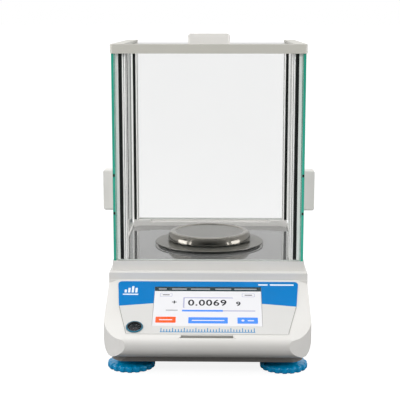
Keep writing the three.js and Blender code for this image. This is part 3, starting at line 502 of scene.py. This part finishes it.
def finish_piece(name, bm, materials, body, stands_for=(), angle=32):
    """Turns a bmesh into a piece that rides on a body, with edges sharper than the angle kept crisp."""
    bmesh.ops.recalc_face_normals(bm, faces=bm.faces)
    mesh = bpy.data.meshes.new(name)
    bm.to_mesh(mesh)
    bm.free()
    mesh.shade_smooth()
    mesh.set_sharp_from_angle(angle=math.radians(angle))
    for material in materials:
        mesh.materials.append(material)
    piece = add_to_scene(bpy.data.objects.new(name, mesh))
    weighted = piece.modifiers.new("weighted_normals", "WEIGHTED_NORMAL")
    weighted.keep_sharp = True
    weighted.weight = 100
    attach(piece, body)
    if stands_for:
        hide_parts(*stands_for)


def body_of(node):
    return NODES[node]["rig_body"]


def round_edges(bm, edges, width, steps=ROUND_STEPS):
    bmesh.ops.bevel(
        bm, geom=edges, offset=width * MM, offset_type="OFFSET", segments=steps,
        profile=0.5, affect="EDGES", clamp_overlap=True,
    )


def refined(node, material, width):
    """The CAD node's shape with its flat faces merged and its edges rounded, in place of the node."""
    bm = bmesh.new()
    bm.from_mesh(NODES[node].data)
    bmesh.ops.remove_doubles(bm, verts=bm.verts, dist=WELD)
    bmesh.ops.dissolve_limit(bm, angle_limit=FLAT_ANGLE, verts=bm.verts, edges=bm.edges)
    if width:
        edges = [
            e for e in bm.edges
            if len(e.link_faces) == 2 and e.calc_face_angle(0) > ROUNDED_ANGLE
        ]
        round_edges(bm, edges, width)
    finish_piece(node + "_surface", bm, [material], body_of(node), (node,))


def lathe(profile, centre, segments, radius_at=None):
    """A closed (radius, height) profile in mm, turned about the vertical through centre."""
    bm = bmesh.new()
    rings = []
    for r, z in profile:
        if r < 1e-6:
            rings.append([bm.verts.new((centre.x, centre.y, z * MM))])
            continue
        ring = []
        for i in range(segments):
            angle = 2 * math.pi * i / segments
            reach = (radius_at(r, angle) if radius_at else r) * MM
            ring.append(bm.verts.new((
                centre.x + reach * math.cos(angle), centre.y + reach * math.sin(angle), z * MM,
            )))
        rings.append(ring)
    pairs = list(zip(rings, rings[1:]))
    if len(rings[0]) > 1:
        pairs.append((rings[-1], rings[0]))
    for low, high in pairs:
        for i in range(segments):
            j = (i + 1) % segments
            if len(low) == 1:
                bm.faces.new((low[0], high[j], high[i]))
            elif len(high) == 1:
                bm.faces.new((low[i], low[j], high[0]))
            else:
                bm.faces.new((low[i], low[j], high[j], high[i]))
    return bm


def paint_bands(bm, segments, bands, slot):
    """Gives another material to some bands of a turned piece, counted along its profile."""
    for index, face in enumerate(bm.faces):
        if index // segments in bands:
            face.material_index = slot


def rounded_box(low, high, width, steps=ROUND_STEPS):
    bm = bmesh.new()
    bmesh.ops.create_cube(bm, size=1)
    size = high - low
    middle = (high + low) / 2
    for v in bm.verts:
        v.co = v.co * size + middle
    round_edges(bm, bm.edges[:], width, steps)
    return bm


def wall_between(bm, lower, upper):
    """Faces between two rings of points, one for each side of the outline."""
    for i in range(len(lower)):
        j = (i + 1) % len(lower)
        bm.faces.new((lower[i], lower[j], upper[j], upper[i]))


# ---------------------------------------------------------------- glass

PANE_ROUNDING = 0.35
BROAD_FACE = 0.99
RIM_FACE = 0.3


def glass_pane(node, thin_axis, green_axes):
    """A pane: two broad clear faces, and a ground rim that is green where the rim is not in a groove."""
    low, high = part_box(node)
    bm = rounded_box(low, high, PANE_ROUNDING)
    bm.normal_update()
    for face in bm.faces:
        if abs(face.normal[thin_axis]) > BROAD_FACE:
            face.material_index = 0
        else:
            green = any(abs(face.normal[axis]) > RIM_FACE for axis in green_axes)
            face.material_index = 1 if green else 2
    finish_piece(
        node + "_pane", bm, [PANE, GLOWING_EDGE, SEATED_EDGE], body_of(node), (node,),
    )


def handle_shade_marks(door):
    """Painted shade: two small dark blocks on the front edge of a side door, level with the ends of its
    handle, standing for the handle's dark image in the glass edge.
    """
    low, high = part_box(door)
    handle_low, handle_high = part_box(door.replace("door", "handle"))
    for place, z in (("lower", handle_low.z), ("upper", handle_high.z - 4 * MM)):
        start = Vector((low.x + 0.4 * MM, low.y - 0.15 * MM, z + 0.5 * MM))
        end = Vector((high.x - 0.4 * MM, low.y + 0.3 * MM, z + 3.5 * MM))
        shade_block = rounded_box(start, end, 0.1, 1)
        finish_piece(f"{door}_{place}_stop", shade_block, [RUBBER], door, ())


def make_glass():
    glass_pane("front_glass", 1, (0,))
    glass_pane("rear_glass", 1, ())
    glass_pane("left_door", 0, (1,))
    glass_pane("right_door", 0, (1,))
    glass_pane("top_door", 2, ())
    handle_shade_marks("left_door")
    handle_shade_marks("right_door")


# ---------------------------------------------------------------- pillars

BEAD_R = 0.9
BEAD_POINTS = 11
BEAD_STEP = 15
STRIP_ROOM = 0.2
CHANNEL_WALLS = 6


def bead(centre):
    """Rounded rib on the face of a pillar, as (across, back) points in mm."""
    half = BEAD_POINTS // 2
    angles = [math.radians(BEAD_STEP * i) for i in range(-half, half + 1)]
    return [(centre + BEAD_R * math.sin(a), BEAD_R * (1 - math.cos(a))) for a in angles]


def pillar_section(width, depth, strip, beads):
    """Drawn aluminium section with ribs, a rubber channel and a glazing channel, in mm."""
    strip_from, strip_to = strip
    ribs = [point for centre in beads for point in bead(centre)]
    return [
        (0, 0.9), *ribs, (strip_from - 0.5, 0.1), (strip_from - 0.3, 0),
        (strip_from, 0), (strip_from, 2.2), (strip_to, 2.2), (strip_to, 0),
        (strip_to + 0.9, 0), (strip_to + 1.1, 0.25), (strip_to + 1.3, 0),
        (width - 0.5, 0), (width - 0.15, 0.15), (width, 0.5),
        (width, depth - 0.5), (width - 0.5, depth), (0.5, depth), (0, depth - 0.5),
        (0, depth / 2 + 1.8), (2.6, depth / 2 + 1.8), (2.6, depth / 2 - 1.8), (0, depth / 2 - 1.8),
    ]


def extruded(corners, bottom, top):
    """Upright solid over an outline: its lower end, its upper end, then a wall for each side."""
    bm = bmesh.new()
    ends = [[bm.verts.new((x, y, z)) for x, y in corners] for z in (bottom, top)]
    bm.faces.new(ends[0])
    bm.faces.new(ends[1])
    wall_between(bm, *ends)
    return bm


def paint_groove_shade(bm, bead_count):
    """Painted shade: dark lines before each rib and round the channel of the strip, where the grooves lie in
    shadow.
    """
    walls = list(bm.faces)[2:]
    shaded_grooves = [BEAD_POINTS * i + step for i in range(bead_count) for step in (0, 1)]
    channel = BEAD_POINTS * bead_count
    for index in (*shaded_grooves, *range(channel, channel + CHANNEL_WALLS)):
        walls[index].material_index = 1


def make_pillar(node, strip_node, side, beads):
    low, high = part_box(node)
    inner = low.x if side > 0 else high.x
    strip = sorted(abs(corner.x - inner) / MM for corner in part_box(strip_node))
    channel = (strip[0] - STRIP_ROOM, strip[1] + STRIP_ROOM)
    section = pillar_section((high.x - low.x) / MM, (high.y - low.y) / MM, channel, beads)
    corners = [(inner + side * u * MM, low.y + v * MM) for u, v in section]
    bm = extruded(corners, low.z, high.z)
    paint_groove_shade(bm, len(beads))
    finish_piece(node + "_section", bm, [PAINTED_GLOW_ALUMINIUM, GROOVE_SHADE], "housing", (node,), 30)
    refined(strip_node, RUBBER, 0.3)


def make_pillars():
    for name, side in (("left", -1), ("right", 1)):
        make_pillar(f"{name}_front_pillar", f"{name}_front_seal_strip", side, (1.1, 3.2))
        make_pillar(f"{name}_rear_pillar", f"{name}_rear_seal_strip", side, (1.2,))


# ---------------------------------------------------------------- pan and ring

PAN_DISH_R = 39.5
PAN_SIDES = 160
PAN_FLOOR_BANDS = (0,)
PAN_SHADED_SKIRT_BANDS = range(9, 16)
RING_SIDES = 192
RING_PAINTED_GLOW_BANDS = (6,)
RING_SHADED_RIM_BANDS = range(7, 12)


def make_pan():
    """Shallow dish with a satin floor, a rolled rim and a polished skirt, on a hollow boss. The skirt is a
    darker copy of the polished steel, as painted shade.
    """
    top = PAN_HIGH.z / MM
    skirt = PAN_LOW.z / MM
    floor = top - 1.1
    boss = floor - 5.8
    profile = [
        (0, floor), (PAN_DISH_R, floor), (39.8, floor + 0.1), (40.1, top - 0.35), (40.6, top - 0.1),
        (41.6, top), (42.9, top), (43.7, top - 0.05), (44.6, top - 0.35), (45.5, top - 0.95),
        (46.3, top - 1.75), (47.0, top - 2.7), (47.6, top - 3.9), (48.1, top - 5.3), (48.4, top - 6.8),
        (48.6, skirt + 0.25), (48.5, skirt), (47.7, skirt), (47.4, skirt + 1.4), (46.9, top - 5.2),
        (46.2, top - 3.7), (45.1, top - 2.3), (43.7, top - 1.3), (41.9, top - 1.3),
        (40.6, floor - 1.1), (8, floor - 1.1), (8, boss), (3.5, boss), (3.5, floor - 2.1), (0, floor - 2.1),
    ]
    bm = lathe(profile, PAN_CENTRE, PAN_SIDES)
    paint_bands(bm, PAN_SIDES, PAN_FLOOR_BANDS, 1)
    paint_bands(bm, PAN_SIDES, PAN_SHADED_SKIRT_BANDS, 2)
    materials = [PAN_EDGE, PAN_TOP, PAN_SKIRT_SHADE]
    finish_piece("pan_dish", bm, materials, "weighing_pan", ("weighing_pan",))


def make_ring():
    """Thin polished ring. The edge of its underside has a painted glow, standing for the light the bright
    floor throws up, and its rim is a darker copy of the steel as painted shade.
    """
    top = RING_HIGH.z / MM
    rim = top - 1.9
    foot = RING_LOW.z / MM
    profile = [
        (12, top - 0.9), (15, top - 1.1), (15, foot), (17, foot), (17, top - 1.1), (38, top - 1.3),
        (60, rim - 0.4), (62.3, rim - 0.85), (62.9, rim - 0.8), (63.15, rim - 0.5), (63.2, rim - 0.2),
        (63.1, rim + 0.1), (62.8, rim + 0.25), (62.2, rim + 0.4), (61.2, rim + 0.45), (60, rim + 0.5),
        (38, top - 0.3), (13, top), (12.3, top - 0.1), (12, top - 0.4),
    ]
    bm = lathe(profile, PAN_CENTRE, RING_SIDES)
    paint_bands(bm, RING_SIDES, RING_PAINTED_GLOW_BANDS, 1)
    paint_bands(bm, RING_SIDES, RING_SHADED_RIM_BANDS, 2)
    materials = [RING_STEEL, RING_PAINTED_GLOW, RING_RIM_SHADE]
    finish_piece("draft_ring_plate", bm, materials, "draft_ring", ("draft_ring",))


# ---------------------------------------------------------------- feet

KNOB_TEETH = 18
KNOB_SIDES = KNOB_TEETH * 16
KNOB_PLAIN_R = 20
GROOVE_HALF_ANGLE = 0.09
GROOVE_DEPTH = 1.9


def knob_radius(r, angle):
    """Round grooves in the toothed rim, and none on the cone above it."""
    pitch = 2 * math.pi / KNOB_TEETH
    away = abs((angle + pitch / 2) % pitch - pitch / 2)
    if r < KNOB_PLAIN_R or away >= GROOVE_HALF_ANGLE:
        return r
    return r - GROOVE_DEPTH * math.sqrt(1 - (away / GROOVE_HALF_ANGLE) ** 2)


def make_knob(name):
    low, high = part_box(f"{name}_foot_knob")
    centre = (low + high) / 2
    reach = (high.x - low.x) / 2 / MM
    top = high.z / MM
    profile = [
        (0, 0), (reach - 1.6, 0), (reach - 0.9, 0.25), (reach - 0.35, 0.8), (reach, 1.5),
        (reach, 4.8), (reach - 0.4, 5.6), (reach - 1.2, 6.2), (reach - 2.4, 6.5), (reach - 5.4, 6.95),
        (16, 8.9), (10.4, top - 2.1), (9.7, top - 1.1), (9.2, top - 0.3), (8.6, top), (4.2, top),
        (4.2, 2.6), (0, 2.6),
    ]
    bm = lathe(profile, centre, KNOB_SIDES, knob_radius)
    finish_piece(
        f"{name}_knob_turned", bm, [KNOB], f"{name}_foot", (f"{name}_foot_knob",), 40,
    )


# ---------------------------------------------------------------- control panel

def on_panel(bm):
    bm.transform(PANEL)
    return bm


def to_panel(point):
    """World point in the panel's own axes, in mm."""
    return PANEL.inverted() @ point / MM


LEVEL_CENTRE = to_panel((LEVEL_LOW + LEVEL_HIGH) / 2)
SCREEN_HALF = (SCREEN_HIGH.x - SCREEN_LOW.x) / 2 / MM
SCREEN_TOP_V = 10.8
SCREEN_BOTTOM_V = 75.4
SCREEN_FACE = 0.5
PRINT = 0.04
SUNK = 0.1
LEVEL_SIDES = 96
COLLAR_INSIDE = (8, 9, 10)
CORNER_STEPS = 5
DOT_SIDES = 24
FIGURE_RISE = 0.02
FIGURE_WELD = 1e-7
FIGURE_FLATTENING = 0.3


def panel_lathe(name, profile, materials, stands_for, bands=()):
    """Turned piece of the level. The second material is for the listed bands of its profile."""
    bm = lathe(profile, LEVEL_CENTRE * MM, LEVEL_SIDES)
    paint_bands(bm, LEVEL_SIDES, bands, 1)
    finish_piece(name, on_panel(bm), materials, "housing", stands_for, 40)


def make_level():
    """Bull's-eye level: teal collar, black cup, tinted liquid with a faint painted glow, target ring, bubble
    and domed lens.
    """
    collar = [
        (7, -2), (7.8, -2), (7.8, 0.75), (8.6, 0.8), (8.8, 1.0), (8.75, 1.5), (8.4, 1.9), (8.0, 2.0),
        (7.5, 1.95), (7.15, 1.7), (7, 1.3),
    ]
    well = [(0, -9), (6.6, -9), (6.6, -0.6), (5.6, -0.6), (5.5, -7.6), (5.2, -7.8), (0, -7.8)]
    liquid = [(0, -7.7), (5.45, -7.7), (5.45, -4.2), (0, -3.9)]
    target = [(2.3, -3.95), (2.7, -3.97), (2.7, -3.8), (2.3, -3.78)]
    bubble = [(0, -3.7), (1.2, -3.65), (1.8, -3.4), (1.7, -3.1), (1.1, -2.85), (0, -2.75)]
    dome = [(0, -0.3), (6.6, -0.3), (6.6, 0.5), (6.0, 0.8), (4.6, 1.2), (2.4, 1.5), (0, 1.6)]
    panel_lathe("level_collar", collar, [TEAL, DARK], ("level_bezel",), COLLAR_INSIDE)
    panel_lathe("level_well", well, [DARK], ("level_cup",))
    panel_lathe("level_liquid", liquid, [LIQUID_PAINTED_GLOW], ())
    panel_lathe("level_target", target, [BLACK_PRINT], ())
    panel_lathe("level_bubble", bubble, [PANE], ())
    panel_lathe("level_dome", dome, [LENS], ("level_lens",))


def prism(outline, w0, w1):
    """Closed prism on the panel: outline in (x, v) mm, and its two heights off the panel."""
    corners = [(x * MM, -v * MM) for x, v in outline]
    return on_panel(extruded(corners, w0 * MM, w1 * MM))


def patch_outline(x0, x1, v0, v1, radius):
    """Outline of an upright patch, with round corners if it has a radius."""
    if not radius:
        return [(x0, v0), (x1, v0), (x1, v1), (x0, v1)]
    outline = []
    corners = ((x1 - radius, v1 - radius, 0), (x0 + radius, v1 - radius, 1),
               (x0 + radius, v0 + radius, 2), (x1 - radius, v0 + radius, 3))
    for cx, cv, quarter in corners:
        for i in range(CORNER_STEPS + 1):
            angle = math.pi / 2 * (quarter + i / CORNER_STEPS)
            outline.append((cx + radius * math.cos(angle), cv + radius * math.sin(angle)))
    return outline


def printed_layer(outline, layer=1):
    """Prism that starts under the screen's face and ends so many layers of ink above it."""
    return prism(outline, SCREEN_FACE - SUNK, SCREEN_FACE + layer * PRINT)


def screen_x(s):
    return (2 * s - 1) * SCREEN_HALF


def screen_v(t):
    return SCREEN_TOP_V + t * (SCREEN_BOTTOM_V - SCREEN_TOP_V)


def screen_patch(name, s0, s1, t0, t1, material, layer=1, radius=0.0):
    """Flat printed-looking patch on the display, given in shares of its width and height."""
    outline = patch_outline(screen_x(s0), screen_x(s1), screen_v(t0), screen_v(t1), radius)
    finish_piece(name, printed_layer(outline, layer), [material], "housing", ())


def screen_dot(name, s, t, radius, material):
    cx, cv = screen_x(s), screen_v(t)
    angles = [2 * math.pi * i / DOT_SIDES for i in range(DOT_SIDES)]
    outline = [(cx + radius * math.cos(a), cv + radius * math.sin(a)) for a in angles]
    finish_piece(name, printed_layer(outline, 2), [material], "housing", ())


def figures(name, text, height, s, t, layer, spacing, weight):
    """Plain figures of the reading, as thin solids on the display. The weight thickens them, in mm."""
    data = bpy.data.curves.new(name, "FONT")
    data.body = text
    data.size = height
    data.align_x = "CENTER"
    data.align_y = "CENTER"
    data.space_character = spacing
    data.extrude = FIGURE_RISE * MM
    data.bevel_depth = weight * MM
    data.bevel_resolution = 1
    source = add_to_scene(bpy.data.objects.new(name + "_source", data))
    bpy.context.view_layer.update()
    graph = bpy.context.evaluated_depsgraph_get()
    mesh = bpy.data.meshes.new_from_object(source.evaluated_get(graph))
    bm = bmesh.new()
    bm.from_mesh(mesh)
    bpy.data.objects.remove(source)
    bpy.data.meshes.remove(mesh)
    bmesh.ops.remove_doubles(bm, verts=bm.verts, dist=FIGURE_WELD)
    place = Vector((screen_x(s), -screen_v(t), SCREEN_FACE + layer * PRINT)) * MM
    bm.transform(Matrix.Translation(place) @ Matrix.Diagonal((1, 1, FIGURE_FLATTENING, 1)))
    finish_piece(name, on_panel(bm), [DISPLAY_TEXT], "housing", ())


def make_display():
    refined("touch_screen", DISPLAY_WHITE, 0.25)
    screen_patch("display_status_bar", 0.0, 1.0, 0.0, 0.115, DISPLAY_DARK)
    for i, (s0, s1) in enumerate(((0.035, 0.11), (0.16, 0.30), (0.34, 0.52), (0.57, 0.72), (0.75, 0.96))):
        screen_patch(f"display_status_item_{i + 1}", s0, s1, 0.045, 0.075, DISPLAY_GREY, 2)
    for name, s0, s1 in (("left", 0.052, 0.167), ("right", 0.82, 0.94)):
        screen_patch(f"display_{name}_tab", s0, s1, 0.17, 0.262, DISPLAY_LILAC, 1, 1.2)
        screen_patch(f"display_{name}_tab_face", s0 + 0.004, s1 - 0.004, 0.178, 0.254, DISPLAY_WHITE, 2, 1.0)
        screen_patch(f"display_{name}_tab_item", s0 + 0.025, s1 - 0.025, 0.207, 0.225, DISPLAY_TEXT, 3)
    screen_patch("display_reading_box", 0.272, 0.735, 0.276, 0.55, DISPLAY_LILAC, 1, 1.0)
    screen_patch("display_reading_field", 0.285, 0.735, 0.30, 0.55, DISPLAY_WHITE, 2, 1.0)
    figures("display_reading", "0.0069", 0.0135, 0.497, 0.425, 3, 1.12, 0.28)
    figures("display_sign", "+", 0.0095, 0.19, 0.41, 2, 1, 0.22)
    # A small, lowered 9 has the same shape as the sign for grams.
    figures("display_unit", "9", 0.0098, 0.785, 0.447, 2, 1, 0.24)
    screen_patch("display_bar_label", 0.115, 0.225, 0.60, 0.622, DISPLAY_GREY, 2)
    screen_patch("display_bar_track", 0.265, 0.94, 0.608, 0.634, DISPLAY_LILAC, 1)
    screen_patch("display_bar", 0.265, 0.641, 0.60, 0.642, DISPLAY_BLUE, 2)
    buttons = (
        ("power", 0.027, 0.212, 0.775, 0.925, DISPLAY_ORANGE),
        ("zero", 0.327, 0.687, 0.785, 0.938, DISPLAY_BLUE),
        ("adjust", 0.774, 0.96, 0.785, 0.938, DISPLAY_BLUE),
    )
    for name, s0, s1, t0, t1, material in buttons:
        screen_patch(f"display_{name}_button", s0, s1, t0, t1, material, 1, 0.6)
    screen_patch("display_power_mark", 0.06, 0.18, 0.84, 0.862, DISPLAY_WHITE, 2)
    screen_patch("display_zero_mark", 0.36, 0.655, 0.853, 0.875, DISPLAY_WHITE, 2)
    screen_dot("display_adjust_dot", 0.824, 0.862, 1.5, DISPLAY_WHITE)
    screen_patch("display_adjust_mark", 0.868, 0.925, 0.853, 0.875, DISPLAY_WHITE, 2)


SCALE_MARKS = 33
SCALE_LEFT = -47
SCALE_SPAN = 95
MARK_HALF = 0.45
# Outline of the painted shadow line along each side crease, in (x, v) mm.
CREASE_SHADOW_LINE = ((92.5, 44), (92.95, 44), (82.7, 87.5), (82.25, 87.5))


def print_on_film(name, outlines, material):
    """One printed piece, made of a thin closed solid for each outline."""
    joined = bmesh.new()
    for outline in outlines:
        bm = printed_layer(outline)
        mesh = bpy.data.meshes.new("part")
        bm.to_mesh(mesh)
        bm.free()
        joined.from_mesh(mesh)
        bpy.data.meshes.remove(mesh)
    finish_piece("print_" + name, joined, [material], "housing", ())


def scale_mark(index):
    x = SCALE_LEFT + SCALE_SPAN * index / (SCALE_MARKS - 1)
    top = 78.6 if index % 4 == 0 else 80.6
    return patch_outline(x - MARK_HALF, x + MARK_HALF, top, 84.4, 0)


def make_print():
    """Plain ornaments on the film: a bar emblem, two dashes, a ruled scale, and a painted crease shadow at
    each side.
    """
    bars = [
        patch_outline(x, x + 2.4, 21 - rise, 21, 0.5)
        for x, rise in ((-89, 5), (-85.2, 8), (-81.4, 11), (-77.6, 8))
    ]
    print_on_film("emblem_bar", bars, WHITE_PRINT)
    print_on_film("emblem_base", [patch_outline(-90.5, -74, 23, 25, 0.6)], WHITE_PRINT)
    dashes = [patch_outline(x0, x1, 5.6, 8.0, 0.6) for x0, x1 in ((54, 64), (66.5, 92))]
    print_on_film("corner_dash", dashes, WHITE_PRINT)
    print_on_film("scale_mark", [scale_mark(i) for i in range(SCALE_MARKS)], BLUE_PRINT)
    print_on_film("scale_line", [patch_outline(-48, 49, 84.4, 85.4, 0)], BLUE_PRINT)
    # Painted shadow: a thin dark line along each side crease of the film.
    print_on_film("side_crease_shadow", [[(side * x, v) for x, v in CREASE_SHADOW_LINE] for side in (-1, 1)], SLOT_SHADE)


# ---------------------------------------------------------------- sockets at the back

PIN_PITCH = 2.77
PIN_ROWS = ((5, 1.3), (4, -1.3))


def socket_block(name, middle, half_width, half_height, y0, y1, material, rounding=0.15):
    """Small block in a socket: its half sizes, and its ends along Y from the socket's rear face, in mm."""
    low = middle + Vector((-half_width, y0, -half_height)) * MM
    high = middle + Vector((half_width, y1, half_height)) * MM
    finish_piece(name, rounded_box(low, high, rounding), [material], "housing", ())


def rear_middle(node):
    low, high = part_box(node)
    return Vector(((low.x + high.x) / 2, high.y, (low.z + high.z) / 2))


def make_sockets():
    serial = rear_middle("serial_port")
    socket_block("serial_insert", serial, 7.4, 2.9, -0.5, 0.1, DARK)
    for row, (count, rise) in enumerate(PIN_ROWS):
        for i in range(count):
            across = (i - (count - 1) / 2) * PIN_PITCH
            place = serial + Vector((across, 0, rise)) * MM
            socket_block(f"serial_pin_{row + 1}_{i + 1}", place, 0.5, 0.5, -0.2, 0.35, BRASS, 0.3)
    usb = rear_middle("usb_port")
    socket_block("usb_insert", usb, 4.1, 3.5, -0.5, 0.1, DARK)
    socket_block("usb_tongue", usb, 2.6, 1.4, -0.3, 0.3, WHITE_PRINT)
    power = rear_middle("power_socket")
    socket_block("power_pin", power, 1.0, 1.0, -6, -0.8, BRASS, 0.7)


# ---------------------------------------------------------------- everything else

ROUNDED_NODES = (
    ("upper_housing", SHELL, 0.5),
    ("bottom_plate", TRIM, 0.5),
    ("control_film", FILM, 0),
    # The sensor window is coloured as painted shade for the slot it sits in.
    ("sensor_window", SLOT_SHADE, 0.1),
    ("floor_plate", FLOOR_STEEL, 0.15),
    ("top_frame", FRAME_PLASTIC_SHADED, 0.4),
    ("left_door_rail", SHELL, 0.15),
    ("right_door_rail", SHELL, 0.15),
    ("left_handle", HANDLE, 0.5),
    ("right_handle", HANDLE, 0.5),
    ("top_handle", HANDLE, 0.5),
    ("connector_bay", DARK, 0.4),
    ("power_socket", RUBBER, 0.3),
    ("serial_port", STEEL, 0.3),
    ("usb_port", STEEL, 0.3),
    ("pan_support", PAN_EDGE, 0.2),
    ("weigh_cell_block", STEEL, 0.4),
    ("weigh_cell_magnet", BLACK_STEEL, 0.4),
    ("weigh_cell_lever", STEEL, 0.3),
    ("main_board", BOARD, 0),
    ("display_board", BOARD, 0),
    ("display_module", DARK, 0.3),
    ("left_foot_stud", STEEL, 0.4),
    ("right_foot_stud", STEEL, 0.4),
    ("left_rear_foot", RUBBER, 0.6),
    ("right_rear_foot", RUBBER, 0.6),
)


def make_the_rest():
    for node, material, width in ROUNDED_NODES:
        refined(node, material, width)
    for node in list(NODES):
        if node.endswith("_pad"):
            refined(node, RUBBER, 0.2)
        elif node.startswith("base_screw"):
            refined(node, STEEL, 0.2)


make_glass()
make_pillars()
make_pan()
make_ring()
make_knob("left")
make_knob("right")
make_level()
make_display()
make_print()
make_sockets()
make_the_rest()
